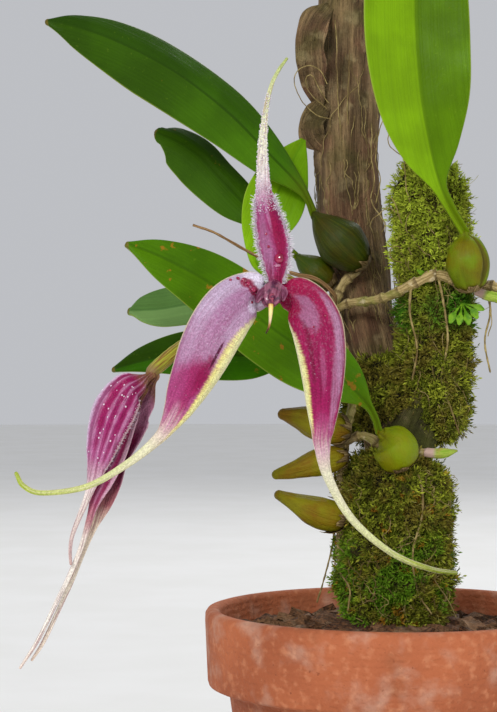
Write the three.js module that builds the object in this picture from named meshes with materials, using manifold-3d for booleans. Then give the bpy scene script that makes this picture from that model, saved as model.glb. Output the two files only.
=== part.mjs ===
// A climbing orchid with one open flower and one bud, potted with the mossy forked branch that it grows on.
// Millimetres, +Z up. The origin is the middle of the pot's underside; the open flower looks along -Y.
// The plant: a creeping rhizome with its roots, seven leafy pseudobulbs and three old leafless ones, two new shoots.
// Rows of numbers are hand-placed points along a stem or a blade, from its root to its tip.
import * as THREE from "three";
import { mergeVertices } from "three/addons/utils/BufferGeometryUtils.js";
import Module from "manifold-3d";

const wasm = await Module();
wasm.setup();

// Driving dimensions
const POT_HEIGHT = 88;
const POT_FOOT_RADIUS = 34;
const POT_BODY_RADIUS = 44;
const POT_RIM_RADIUS = 50;
const POT_RIM_DEPTH = 20;
const POT_WALL = 4;
const POT_FLOOR = 6;
const DRAIN_RADIUS = 4;
const DRAIN_CIRCLE = 20;
const DRAIN_COUNT = 4;
const MIX_LEVEL = 80;
const MIX_CROWN = 3;
const CHIP_COUNT = 26;
const SEAT_GAP = 0.35;
const LEAF_HALF_THICKNESS = 0.45;
const PETIOLE_HALF_THICKNESS = 0.9;
const SEPAL_HALF_THICKNESS = 0.5;

// Materials, with the colours of the photograph
const finish = (color, roughness) => new THREE.MeshStandardMaterial({ color, roughness, metalness: 0 });
const terracotta = finish(0xb0623f, 0.9);
const bark = finish(0x5a3c26, 0.95);
const wood = finish(0x6b5038, 0.9);
const moss = finish(0x5d7326, 1);
const rhizomeSkin = finish(0xa08a5c, 0.7);
const bulbSkin = finish(0x86a01c, 0.4);
const oldBulbSkin = finish(0x99902a, 0.5);
const leafGreen = finish(0x3f8412, 0.35);
const sepalPurple = finish(0xa32a6e, 0.45);
const columnPurple = finish(0x6c2a4c, 0.3);
const lipCream = finish(0xe8dca0, 0.4);
const stalkGreen = finish(0x9aa43c, 0.5);
const dryBrown = finish(0x8a6038, 0.8);

const plant = new THREE.Group();

function add(name, shape, material) {
  const mesh = new THREE.Mesh(shape instanceof THREE.BufferGeometry ? shape : toGeometry(shape), material);
  mesh.name = name;
  plant.add(mesh);
  return mesh;
}

// Closed meshes and solids
function toSolid(geometry) {
  const bare = new THREE.BufferGeometry();
  bare.setAttribute("position", geometry.getAttribute("position"));
  if (geometry.index) bare.setIndex(geometry.index);
  const merged = mergeVertices(bare, 1e-4);
  const mesh = new wasm.Mesh({
    numProp: 3,
    vertProperties: new Float32Array(merged.attributes.position.array),
    triVerts: new Uint32Array(merged.index.array),
  });
  return new wasm.Manifold(mesh);
}

function toGeometry(solid) {
  const mesh = solid.getMesh();
  const geometry = new THREE.BufferGeometry();
  geometry.setAttribute("position", new THREE.BufferAttribute(new Float32Array(mesh.vertProperties), 3));
  geometry.setIndex(new THREE.BufferAttribute(new Uint32Array(mesh.triVerts), 1));
  return geometry;
}

const joined = (solids) => solids.reduce((whole, solid) => whole.add(solid));
const cleared = (solid, cutters) => cutters.reduce((rest, cutter) => rest.subtract(cutter), solid);

/** The largest connected body of a solid, without the scraps that a cut leaves. */
function largest(solid) {
  return solid.decompose().reduce((best, body) => (body.volume() > best.volume() ? body : best));
}

/** A closed skin over equal rings of points, with a fan at each end. */
function skin(rings) {
  const around = rings[0].length;
  const points = rings.flat();
  const faces = [];
  const middle = (ring) => ring.reduce((sum, p) => sum.add(p), new THREE.Vector3()).divideScalar(around);
  const first = points.push(middle(rings[0])) - 1;
  const last = points.push(middle(rings.at(-1))) - 1;
  for (let i = 0; i + 1 < rings.length; i++)
    for (let k = 0; k < around; k++) {
      const a = i * around + k;
      const b = i * around + ((k + 1) % around);
      faces.push(a, b, b + around, a, b + around, a + around);
    }
  const end = (rings.length - 1) * around;
  for (let k = 0; k < around; k++) {
    const next = (k + 1) % around;
    faces.push(first, next, k, last, end + k, end + next);
  }
  const geometry = new THREE.BufferGeometry().setFromPoints(points);
  geometry.setIndex(faces);
  const solid = toSolid(geometry);
  if (solid.volume() > 0) return geometry;
  for (let i = 0; i < faces.length; i += 3) [faces[i], faces[i + 1]] = [faces[i + 1], faces[i]];
  geometry.setIndex(faces);
  return geometry;
}

/** A smooth curve through three columns of the rows. */
function column(rows, at) {
  const points = rows.map((row) => new THREE.Vector3(row[at], row[at + 1] ?? 0, row[at + 2] ?? 0));
  return new THREE.CatmullRomCurve3(points, false, "catmullrom", 0.5);
}

/** A round stem through rows of x, y, z, radius. A fatter one, by `extra`, cuts its seat in a neighbour. */
function stem(rows, { sides = 8, steps = rows.length * 2, extra = 0, bump = () => 0 } = {}) {
  const path = column(rows, 0);
  const radius = column(rows, 3);
  let normal = new THREE.Vector3(0.31, -0.9, 0.29);
  const rings = [];
  for (let i = 0; i <= steps; i++) {
    const at = path.getPoint(i / steps);
    const along = path.getTangent(i / steps);
    normal = normal.clone().addScaledVector(along, -normal.dot(along)).normalize();
    const across = along.clone().cross(normal);
    const ring = [];
    for (let k = 0; k < sides; k++) {
      const turn = (2 * Math.PI * k) / sides;
      const r = radius.getPoint(i / steps).x * (1 + bump(i / steps, turn)) + extra;
      const out = normal.clone().multiplyScalar(Math.cos(turn) * r);
      ring.push(at.clone().add(out).addScaledVector(across, Math.sin(turn) * r));
    }
    rings.push(ring);
  }
  if (extra > 0) stretchEnds(rings, path, extra);
  return skin(rings);
}

/** Moves the first and last ring outwards along the path, so that a cutter clears the ends too. */
function stretchEnds(rings, path, by) {
  const start = path.getTangent(0).multiplyScalar(-by);
  const end = path.getTangent(1).multiplyScalar(by);
  rings[0].forEach((p) => p.add(start));
  rings.at(-1).forEach((p) => p.add(end));
}

/**
 * A thin blade through rows of x, y, z, left half width, right half width, seen with its face towards you
 * and its tip up. `cup` gives how far a point across the blade, from -1 at left to 1 at right, stands proud
 * of the midline, as a share of the half width; `thickness` gives the half thickness there.
 */
function blade(rows, { face, cup, thickness, steps = rows.length * 2 - 2, around = 10, grow = 0 }) {
  const path = column(rows, 0);
  const widths = column(rows, 3);
  const rings = [];
  for (let i = 0; i <= steps; i++) {
    const at = path.getPoint(i / steps);
    const along = path.getTangent(i / steps);
    const { x: left, y: right } = widths.getPoint(i / steps);
    const side = along.clone().cross(new THREE.Vector3(...face)).normalize();
    const out = side.clone().cross(along).normalize();
    const half = thickness((left + right) / 2) + grow;
    const ring = [];
    for (let k = 0; k < around; k++) {
      const turn = (2 * Math.PI * k) / around;
      const across = Math.cos(turn);
      const width = (across < 0 ? left : right) + grow;
      const edge = Math.sign(Math.sin(turn)) * Math.abs(Math.sin(turn)) ** 0.6;
      const proud = cup(across, i / steps) * width + half * edge;
      ring.push(at.clone().addScaledVector(side, across * width).addScaledVector(out, proud));
    }
    rings.push(ring);
  }
  if (grow > 0) stretchEnds(rings, path, grow);
  return skin(rings);
}

/** Random numbers from 0 to 1 that are the same on each run. */
function seeded(seed) {
  let state = seed;
  return () => {
    state = (state * 16807) % 2147483647;
    return state / 2147483647;
  };
}

// Pot: plain clay, with a collar and four drain holes in its floor
function potShape() {
  const collar = POT_HEIGHT - POT_RIM_DEPTH;
  const profile = [
    [0, 0],
    [POT_FOOT_RADIUS, 0],
    [POT_BODY_RADIUS, collar],
    [POT_RIM_RADIUS - 1, collar],
    [POT_RIM_RADIUS, POT_HEIGHT - 2],
    [POT_RIM_RADIUS - 1, POT_HEIGHT],
    [POT_RIM_RADIUS - POT_WALL, POT_HEIGHT],
    [POT_BODY_RADIUS - POT_WALL + 1, collar - 2],
    [POT_FOOT_RADIUS - POT_WALL + 1, POT_FLOOR],
    [0, POT_FLOOR],
  ].map(([x, y]) => new THREE.Vector2(x, y));
  const body = new THREE.LatheGeometry(profile, 36).rotateX(Math.PI / 2);
  const holes = [];
  for (let k = 0; k < DRAIN_COUNT; k++) {
    const turn = (2 * Math.PI * (k + 0.5)) / DRAIN_COUNT;
    const hole = new THREE.CylinderGeometry(DRAIN_RADIUS, DRAIN_RADIUS, POT_FLOOR * 3, 12).rotateX(Math.PI / 2);
    hole.translate(DRAIN_CIRCLE * Math.cos(turn), DRAIN_CIRCLE * Math.sin(turn), 0);
    holes.push(toSolid(hole));
  }
  return cleared(toSolid(body), holes);
}
add("pot", potShape(), terracotta);

// Branch: one forked limb of wood that stands in the pot
const TRUNK = [
  [0, 0, 14, 8.5],
  [0.4, 0, 60, 8.8],
  [0, 0, 84, 8.8],
  [0.2, 1, 106, 8.6],
  [1.2, 2.6, 120, 8.2],
  [3.2, 3.9, 130, 7.2],
  [7.4, 6, 140, 6.2],
  [10.2, 7.6, 152, 5.6],
  [10.8, 8.2, 170, 5.5],
  [10, 8.4, 190, 5.3],
  [9.2, 8, 208, 4.6],
  [9.4, 8.2, 216, 3.4],
];
const BACK_PRONG = [
  [1.4, 3, 116, 6.8],
  [0, 8, 133, 7.6],
  [-3.6, 16, 150, 8],
  [-8, 25, 172, 8.4],
  [-10.8, 31, 196, 8.8],
  [-11, 34, 226, 8.8],
  [-10, 36, 254, 8.3],
  [-10.4, 37, 271, 7.2],
];
const barkRidges = (along, turn) => 0.05 * Math.sin(3 * turn + 9 * along) + 0.035 * Math.sin(5 * turn - 23 * along);
const limbs = (extra) =>
  joined([
    toSolid(stem(TRUNK, { sides: 12, steps: 22, extra, bump: barkRidges })),
    toSolid(stem(BACK_PRONG, { sides: 12, steps: 15, extra, bump: barkRidges })),
  ]);
const branch = limbs(0);
const branchSeat = limbs(SEAT_GAP);
add("branch", branch, wood);

// Potting mix: bark chips round the branch, heaped a little towards the middle
function mixShape() {
  const inner = POT_BODY_RADIUS - POT_WALL + 1 - SEAT_GAP;
  const foot = POT_FOOT_RADIUS - POT_WALL + 1 - SEAT_GAP;
  const shelf = POT_HEIGHT - POT_RIM_DEPTH - 2;
  const top = inner + ((MIX_LEVEL - shelf) / (POT_HEIGHT - shelf)) * (POT_RIM_RADIUS - POT_BODY_RADIUS - 1);
  const profile = [
    [0, POT_FLOOR + SEAT_GAP],
    [foot, POT_FLOOR + SEAT_GAP],
    [inner, shelf],
    [top, MIX_LEVEL],
    [top * 0.6, MIX_LEVEL + MIX_CROWN * 0.7],
    [0, MIX_LEVEL + MIX_CROWN],
  ].map(([x, y]) => new THREE.Vector2(x, y));
  const heap = toSolid(new THREE.LatheGeometry(profile, 36).rotateX(Math.PI / 2));
  const random = seeded(41);
  const chips = [];
  for (let k = 0; k < CHIP_COUNT; k++) {
    const reach = 17 + 19 * Math.sqrt((k + 0.5) / CHIP_COUNT);
    const turn = k * 2.4;
    const chip = new THREE.BoxGeometry(9 + 5 * random(), 6 + 4 * random(), 3 + 2 * random());
    chip.rotateX(0.5 * (random() - 0.5)).rotateY(0.7 * (random() - 0.5)).rotateZ(6.3 * random());
    chip.translate(reach * Math.cos(turn), reach * Math.sin(turn), MIX_LEVEL + 1.2 + 1.6 * random());
    chips.push(toSolid(chip));
  }
  return cleared(joined([heap, ...chips]), [branchSeat]);
}
const mix = mixShape();
add("potting_bark", mix, bark);

// Rhizome: the main creeping stem up the branch, two side stems that carry bulbs, and their roots
const RHIZOME_MAIN = [
  [-13, -0.8, 86.5, 1],
  [-13.9, -0.8, 98, 1.15],
  [-14.2, -0.9, 112, 1.25],
  [-13.8, -0.9, 124, 1.15],
  [-13.3, -1, 131, 1.25],
  [-11.9, 1.4, 138, 1.1],
  [-10.3, 4.4, 145, 1.15],
  [-12, 7, 153, 1.1],
  [-14.4, 9.4, 160, 1.2],
  [-15.4, 11.6, 167, 1.25],
  [-13, 13.4, 173.4, 1.1],
  [-9.4, 13.6, 176.8, 1.1],
];
const RHIZOME_UPPER = [
  [-15.2, 11.2, 166.4, 0.9],
  [-11.5, 8, 168.1, 1.1],
  [-5, 4, 168.8, 1.1],
  [0, 0.6, 170.4, 1.2],
  [5, -1.8, 173, 1.25],
  [10.5, -2.2, 175.2, 1.35],
  [15, -1.1, 174, 1.35],
  [19.5, -0.6, 173.2, 1.35],
  [24, -1.6, 172.4, 1.3],
  [29, -2.4, 171.4, 1.25],
  [33, -2.6, 170.8, 0.8],
];
const RHIZOME_LOWER = [
  [-13, -1.4, 131.4, 0.9],
  [-9.6, -5, 133.2, 1.1],
  [-6.4, -6.4, 132.4, 1.1],
  [-3, -6, 129.4, 1.1],
  [1, -5.8, 127.4, 1.1],
  [4.6, -7, 128.2, 1.1],
  [6.4, -7.8, 129, 1],
];
const ROOTS = [
  [[11, -2.4, 175], [12.4, -2.6, 168], [13.6, -1.9, 158], [12, -2, 148], [14.6, -1.2, 140], [16.6, -1.4, 134]],
  [[4, -2, 172.6], [3.6, -3.4, 165], [5.6, -1.8, 156], [4.4, -1.2, 148]],
  [[0.6, -5.8, 127.4], [5, -12.4, 123.4], [6, -13.8, 114], [3.4, -14.9, 104], [4.6, -14.7, 94], [8, -16, 88.5]],
  [[-13.9, -0.8, 103], [-14.6, -4.6, 98], [-12.4, -9.4, 94], [-13, -12.8, 89]],
  [[-15.2, 11.6, 166], [-18, 13.6, 156], [-16.2, 14.6, 146], [-18.4, 12.6, 136], [-17, 9, 128]],
  [[24, -1.4, 172], [25, 0.4, 165.4], [23.4, -1, 158], [24.6, -2.4, 150]],
  [[-12, 1.2, 138], [-15.6, 4, 130], [-15.4, 5, 118], [-16, 3.6, 106], [-18.4, 2, 96], [-20.4, 0.6, 89.5]],
];
const stems = [RHIZOME_MAIN, RHIZOME_UPPER, RHIZOME_LOWER];
const joints = (along, turn) => 0.07 * Math.sin(55 * along) + 0.04 * Math.sin(2 * turn);
const rhizomeStems = joined(stems.map((rows) => toSolid(stem(rows, { sides: 7, bump: joints }))));
const rhizomeSeat = joined(stems.map((rows) => toSolid(stem(rows, { sides: 7, extra: SEAT_GAP + 0.15 }))));
const ROOT_RADIUS = 0.42;
const rootRows = ROOTS.map((points) => points.map((point) => [...point, ROOT_RADIUS]));
const roots = rootRows.map((rows) => toSolid(stem(rows, { sides: 5, steps: rows.length * 2 })));
const rootBeds = rootRows.map((rows) => toSolid(stem(rows, { sides: 5, extra: SEAT_GAP + 0.1, steps: rows.length * 2 })));
add("rhizome_and_roots", joined([rhizomeStems, ...roots]), rhizomeSkin);

// Pseudobulbs: ribbed ovoids, each on the rhizome with its single leaf at the top
const BULBS = {
  bulb_upper_right: [
    [19.4, -6.4, 170.4, 1.3],
    [19.1, -6.4, 172.2, 3.7],
    [18.6, -6.4, 176.2, 5.5],
    [18.3, -6.4, 180.2, 5.4],
    [18, -6.6, 183.6, 3.7],
    [17.7, -6.8, 185.3, 1.4],
  ],
  bulb_lower_right: [
    [1, -12.2, 124.6, 1.3],
    [0.3, -12.6, 126.4, 4.4],
    [-0.8, -13.2, 129.9, 5.7],
    [-2, -13.5, 132.3, 4.8],
    [-3.7, -13.9, 133.7, 2.4],
    [-4.4, -14.1, 134, 1.2],
  ],
  bulb_middle: [
    [-6.6, 13.6, 178.6, 1.5],
    [-9.6, 12.4, 180.8, 5],
    [-13.8, 11.6, 184.5, 6.6],
    [-17.6, 11.8, 188.4, 4.4],
    [-20.4, 12.6, 191.6, 1.4],
  ],
  bulb_back: [
    [-15.4, 16.6, 172.8, 1.3],
    [-17.4, 17, 174.4, 3.4],
    [-20.2, 17.2, 176.8, 4.2],
    [-23, 17.2, 179, 2.8],
    [-25, 17, 180.6, 1.2],
  ],
  bulb_centre: [
    [-18.3, 10.6, 167, 1.3],
    [-20.4, 10.2, 168, 3.6],
    [-23.2, 9.8, 169.6, 4.2],
    [-26.2, 9.4, 171.2, 2.8],
    [-28.3, 9.1, 172.3, 1.2],
  ],
  bulb_lower_left: [
    [-15.7, 8.6, 158.4, 1.5],
    [-18, 7.4, 158.8, 3.4],
    [-20.8, 6.6, 160, 4.2],
    [-23.2, 6.6, 161.8, 2.8],
    [-24.6, 6.8, 163, 1.2],
  ],
  bulb_lowest_left: [
    [-12.2, 2.4, 142.6, 1.2],
    [-14, 1.6, 144.8, 3.4],
    [-16, 1.4, 147.8, 4.2],
    [-17.8, 1.8, 150.8, 2.8],
    [-18.8, 2.2, 152.8, 1.2],
  ],
};
const OLD_BULBS = {
  old_bulb_1: [
    [-12.5, -3.9, 134.8, 1.2],
    [-15, -5.6, 135, 3.9],
    [-20, -7.2, 136.4, 4.4],
    [-25.3, -8, 138, 3],
    [-29.4, -8.2, 138.8, 1.6],
  ],
  old_bulb_2: [
    [-13, -3.8, 127.8, 1.2],
    [-15.6, -5.6, 127.6, 3.2],
    [-20.6, -7.2, 126.4, 3.5],
    [-26.4, -8, 124.5, 2.3],
    [-31.2, -8.2, 123.4, 1.3],
  ],
  old_bulb_3: [
    [-13.4, -4, 111.6, 1.2],
    [-16.4, -5.8, 112.2, 3.9],
    [-21.8, -7.2, 114, 3.9],
    [-26.7, -8, 116.3, 2.4],
    [-30.6, -8.2, 118, 1.3],
  ],
};
const ribs = (along, turn) => 0.045 * Math.sin(5 * turn);
const bulbSeats = [];
for (const [name, rows] of Object.entries({ ...BULBS, ...OLD_BULBS })) {
  const body = toSolid(stem(rows, { sides: 10, steps: 8, bump: ribs }));
  add(name, largest(body.subtract(rhizomeSeat)), name in BULBS ? bulbSkin : oldBulbSkin);
  bulbSeats.push(toSolid(stem(rows, { sides: 10, steps: 8, extra: SEAT_GAP + 0.25 })));
}

// New shoots: pointed buds at the rhizome's growing ends
const SHOOTS = {
  shoot_lower: [
    [6.9, -8, 129.1, 1],
    [9, -8.2, 128.9, 1.2],
    [12, -8.4, 128.9, 1.3],
    [15.2, -8.4, 129.5, 0.35],
  ],
  shoot_upper: [
    [20.8, -2.6, 170.9, 0.9],
    [24.4, -3.6, 169.6, 1.3],
    [28.6, -3.8, 168.9, 1.2],
    [33, -3.6, 168.7, 0.35],
  ],
};
for (const [name, rows] of Object.entries(SHOOTS)) {
  const body = toSolid(stem(rows, { sides: 7 }));
  add(name, largest(body.subtract(rhizomeSeat)), leafGreen);
}

// Moss: cushions that sleeve the branch, with beds where the rhizome and the bulbs lie in them
const MOSS = {
  moss_lower: [
    [0.4, 0, 84, 12],
    [0, -0.4, 90, 13.6],
    [-0.4, -0.4, 100, 14],
    [0, -0.2, 112, 13.8],
    [0.4, 0, 121, 12.9],
    [1.4, 1.4, 126.4, 10.6],
  ],
  moss_upper: [
    [10.4, 6.4, 131.4, 4.8],
    [10.6, 6.8, 136, 7.8],
    [10.4, 7.6, 146, 9],
    [11, 8.2, 160, 8.7],
    [11, 8.2, 176, 9.3],
    [10, 8.4, 190, 9],
    [9.4, 8, 202, 7.6],
    [9.2, 8, 207, 5.8],
  ],
  moss_fork: [
    [-0.4, 8, 134, 8.6],
    [-2, 11, 139, 10],
    [-3.4, 14, 145, 9.6],
    [-4.4, 16.6, 151, 8.9],
  ],
};
const lumps = (along, turn) =>
  0.045 * Math.sin(4 * turn + 11 * along) + 0.035 * Math.sin(7 * turn - 19 * along) + 0.03 * Math.sin(31 * along);
for (const [name, rows] of Object.entries(MOSS)) {
  const cushion = toSolid(stem(rows, { sides: 16, steps: 9, bump: lumps }));
  const beds = [branchSeat, rhizomeSeat, ...rootBeds, ...bulbSeats];
  if (name !== "moss_lower") beds.push(toSolid(stem(MOSS.moss_lower, { sides: 16, steps: 9, extra: 1 })));
  if (name === "moss_fork") beds.push(toSolid(stem(MOSS.moss_upper, { sides: 16, steps: 9, extra: 1 })));
  add(name, largest(cleared(cushion, beds)), moss);
}

// Leaves: thick blades, folded a little along the midrib, narrowed to a channelled stalk
const LEAVES = {
  leaf_upper_right: {
    face: [0.1, -1, 0],
    cup: [0.16, 0.3],
    rows: [
      [17.4, -7.1, 186.1, 1.2, 1.2],
      [15.6, -8.4, 188.8, 1.25, 1.25],
      [12.6, -11, 193.4, 1.5, 1.5],
      [10.2, -13.6, 198.4, 2.8, 2.1],
      [7.9, -16.4, 206.4, 7.9, 7],
      [5.6, -18.6, 217.5, 11.6, 11.4],
      [4.3, -18, 231.4, 13.4, 12.9],
      [4.1, -15, 245, 13.6, 12.9],
      [4.6, -10, 261, 12.1, 11.4],
      [5.9, -4.6, 276.5, 8.4, 8],
      [7.2, 0, 288.5, 1, 1],
    ],
  },
  leaf_centre: {
    face: [0.1, -1, 0.3],
    cup: [0.12, 0.18],
    rows: [
      [-5.2, -14.5, 134.7, 1, 1],
      [-6.2, -15, 138, 1, 1],
      [-8.6, -15.6, 142, 1.6, 1.6],
      [-14, -17, 147.4, 6.2, 5.6],
      [-23, -19, 154.2, 9.9, 8.4],
      [-32.1, -20.6, 160.7, 10.4, 8.2],
      [-40.6, -22, 167.1, 10, 8.2],
      [-50.6, -24, 173.7, 8.5, 7.2],
      [-60.6, -25, 178.8, 5.7, 4.4],
      [-68.6, -26, 181.8, 0.7, 0.7],
    ],
  },
  leaf_upper_left: {
    face: [0, -1, 0.1],
    cup: [0.06, -0.7],
    rows: [
      [-20.9, 12.9, 192.2, 1.2, 1.2],
      [-22.7, 12, 196.4, 1.15, 1.15],
      [-25.6, 10.8, 200.4, 2.5, 2.2],
      [-32.5, 8.6, 207.4, 6.1, 4.9],
      [-42.6, 6, 217.5, 9, 6.7],
      [-53.9, 3, 226.3, 10.7, 6.8],
      [-64.4, 0, 232.5, 10.7, 6.7],
      [-74.6, -3, 237, 8.6, 5.6],
      [-83.6, -5, 239.8, 5.3, 3.4],
      [-90.4, -6, 240.8, 1, 0.8],
    ],
  },
  leaf_short_left: {
    face: [0, -1, 0.1],
    cup: [0.1, -0.5],
    rows: [
      [-25.4, 17, 180.95, 1, 1],
      [-30, 17, 185.4, 1.1, 1.1],
      [-35.4, 17, 191.1, 3.4, 2.9],
      [-41.1, 17, 196.6, 6.6, 5],
      [-47, 16.4, 202.7, 8, 5.2],
      [-52.3, 15.6, 208.2, 7.6, 4.9],
      [-57.6, 14.8, 212.2, 4.9, 3.4],
      [-62.2, 14, 213.8, 1, 1],
    ],
  },
  leaf_back: {
    face: [0.2, -1, 0],
    cup: [0.2, 0.2],
    rows: [
      [-28.9, 9, 172.7, 1, 1],
      [-33.2, 9.6, 175.8, 1.1, 1.1],
      [-36.4, 10.4, 179.4, 1.8, 1.8],
      [-35, 11.6, 186.5, 5.8, 5.6],
      [-32.3, 12.6, 193.9, 8.4, 8.2],
      [-29.3, 15, 201, 7.6, 7.4],
      [-26.3, 18.4, 207.6, 4.5, 4.5],
      [-23.8, 21, 212.6, 1, 1],
    ],
  },
  leaf_lower_left: {
    face: [0, -1, 0.5],
    cup: [0.12, 0.12],
    rows: [
      [-25.2, 7, 163.5, 1, 1],
      [-30.2, 8, 165.6, 1.1, 1.1],
      [-36.8, 8.6, 167.4, 3.8, 3.4],
      [-44.8, 8, 168.2, 6, 5.6],
      [-54.6, 6.6, 167.6, 6.6, 6],
      [-61.7, 5.4, 166.3, 5.9, 5.6],
      [-66.6, 4.6, 165.8, 3.9, 3.8],
      [-69.6, 4.2, 165.6, 1, 1],
    ],
  },
  leaf_lowest_left: {
    face: [0, -1, 0.2],
    cup: [0.14, 0.14],
    rows: [
      [-19.5, 2.3, 153.8, 1, 1],
      [-23.6, 2, 154.6, 1.1, 1.1],
      [-30.2, 1.4, 154.4, 3.8, 3.8],
      [-38.1, 0.4, 154, 6.4, 6.9],
      [-47.3, -1.6, 154.2, 6.9, 7.1],
      [-56.3, -3.6, 154.2, 5.8, 5.9],
      [-65.4, -5.6, 152.7, 3.3, 3.8],
      [-73.2, -7.6, 150.5, 0.7, 0.7],
    ],
  },
};
const leafThickness = (width) => Math.max(LEAF_HALF_THICKNESS, PETIOLE_HALF_THICKNESS - 0.1 * Math.max(0, width - 1));
for (const [name, { face, cup, rows }] of Object.entries(LEAVES)) {
  const fold = (across) => Math.abs(across) ** 1.3 * (across < 0 ? cup[0] : cup[1]);
  add(name, blade(rows, { face, cup: fold, thickness: leafThickness }), leafGreen);
}

// Open flower: the three sepals end in long tails; the small parts sit on the column between them
const FLOWER_FACE = [0, -1, 0];
const LATERAL_LEFT = [
  [-34.7, -44.2, 168.6, 2.2, 2.2],
  [-37.2, -46.6, 168.8, 4.3, 4.2],
  [-40.6, -49.4, 167.4, 6.2, 5.9],
  [-44.1, -51.6, 164.5, 6.9, 6.6],
  [-47.4, -52.5, 160, 6.8, 6.5],
  [-49.8, -52.3, 155, 6.4, 6],
  [-51.6, -51.5, 150.3, 5.5, 4.9],
  [-53.4, -50.5, 145.6, 4.2, 3.9],
  [-55.3, -49.7, 141.3, 2.9, 2.9],
  [-57.3, -49.2, 137.7, 1.9, 1.9],
  [-59.9, -49.2, 134.4, 1.3, 1.3],
  [-66.7, -50.6, 128.8, 0.9, 0.9],
  [-76.4, -53.4, 123.3, 0.68, 0.68],
  [-86.8, -55, 121.8, 0.58, 0.58],
  [-91.4, -54.6, 123.4, 0.52, 0.52],
  [-93.2, -54, 126.3, 0.36, 0.36],
];
const LATERAL_RIGHT = [
  [-29.9, -44.2, 168.7, 2.3, 2.3],
  [-27.2, -46.4, 167.8, 4.2, 4.2],
  [-24.8, -49.2, 165.3, 5.5, 5.5],
  [-23.2, -51.4, 161.8, 5.8, 5.8],
  [-22.1, -52.4, 157.3, 5.9, 5.9],
  [-21.3, -52.2, 152.3, 5.8, 5.8],
  [-20.9, -51.1, 147.1, 5.1, 5.1],
  [-20.8, -49.7, 141.9, 4.15, 4.15],
  [-21, -48.4, 136.8, 2.85, 2.85],
  [-21.2, -47, 132.5, 1.9, 1.9],
  [-19.4, -45, 125, 1.15, 1.15],
  [-13.5, -42, 114.6, 0.92, 0.92],
  [-3.6, -38, 106, 0.7, 0.7],
  [5.9, -36, 101.9, 0.6, 0.6],
  [12.4, -34, 100.7, 0.42, 0.42],
];
const DORSAL = [
  [-31.9, -43.4, 172.1, 1.6, 1.6],
  [-31.8, -43, 174.4, 2.3, 2.3],
  [-31.9, -42.4, 178.2, 3.1, 3.1],
  [-32.5, -42.2, 182.3, 3.5, 3.4],
  [-33.4, -42.4, 186.4, 3.3, 3.2],
  [-34.3, -43.2, 190.4, 2.6, 2.6],
  [-34.8, -44, 194.4, 1.85, 1.85],
  [-35, -44.6, 198.6, 1.4, 1.4],
  [-35.1, -44.8, 202.7, 1.15, 1.15],
  [-34.9, -44.8, 206.8, 0.95, 0.95],
  [-34.3, -44.2, 213.2, 0.6, 0.6],
  [-32.9, -42.6, 219.4, 0.48, 0.48],
  [-31.1, -41.4, 223.2, 0.42, 0.42],
  [-29.2, -40.4, 226, 0.32, 0.32],
];
const sepalThickness = (width) => Math.min(SEPAL_HALF_THICKNESS, Math.max(width, 0.32));
const bulging = (share) => (across) => -share * across * across;
const lateral = { face: FLOWER_FACE, cup: bulging(0.32), thickness: sepalThickness, steps: 26 };
add("sepal_lateral_left", blade(LATERAL_LEFT, lateral), sepalPurple);
add("sepal_lateral_right", blade(LATERAL_RIGHT, lateral), sepalPurple);
const trough = (across) => 0.45 * across * across;
const dorsal = { face: [-0.12, -1, 0], cup: trough, thickness: sepalThickness, steps: 24 };
add("sepal_dorsal", blade(DORSAL, dorsal), sepalPurple);

const COLUMN = [
  [-32.3, -41.6, 170, 1.2],
  [-32.3, -43, 169.9, 1.85],
  [-32.3, -44.8, 169.6, 1.7],
  [-32.4, -46.8, 168.9, 1.6],
  [-32.5, -48.5, 167.9, 1.3],
  [-32.6, -49.4, 167.2, 0.7],
];
add("flower_column", stem(COLUMN, { sides: 10, steps: 10 }), columnPurple);
const PETALS = {
  petal_left: [
    [-34.9, -46.7, 169.6, 0.7, 0.7],
    [-35.7, -49, 168.8, 1.1, 1.1],
    [-36.8, -50.6, 167.3, 0.35, 0.35],
  ],
  petal_right: [
    [-29.9, -46.7, 169.5, 0.7, 0.7],
    [-29.6, -49, 168.2, 1.1, 1.1],
    [-30, -50.4, 166.2, 0.35, 0.35],
  ],
};
for (const [name, rows] of Object.entries(PETALS))
  add(name, blade(rows, { face: FLOWER_FACE, cup: bulging(0.2), thickness: () => 0.32, around: 8 }), columnPurple);
const LIP = [
  [-32.8, -49.6, 166.4, 0.5],
  [-33.1, -50, 163.9, 0.45],
  [-33.6, -49.7, 161.4, 0.36],
  [-34.4, -49, 159.9, 0.32],
  [-35.3, -48.5, 158.9, 0.3],
];
add("flower_lip", stem(LIP, { sides: 6 }), lipCream);
const FLOWER_STALK = [
  [-32.4, -41.1, 170.1, 1.3],
  [-32.2, -37, 171, 1.5],
  [-31.7, -33, 172.2, 1.2],
  [-30.4, -24, 173.8, 1],
  [-27.9, -14, 173.7, 0.9],
  [-23.4, -4.6, 171.2, 0.85],
  [-18.8, 4, 168.6, 0.85],
  [-15.9, 9.8, 167, 0.85],
];
add("flower_stalk", largest(toSolid(stem(FLOWER_STALK, { sides: 7 })).subtract(rhizomeSeat)), stalkGreen);

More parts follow.
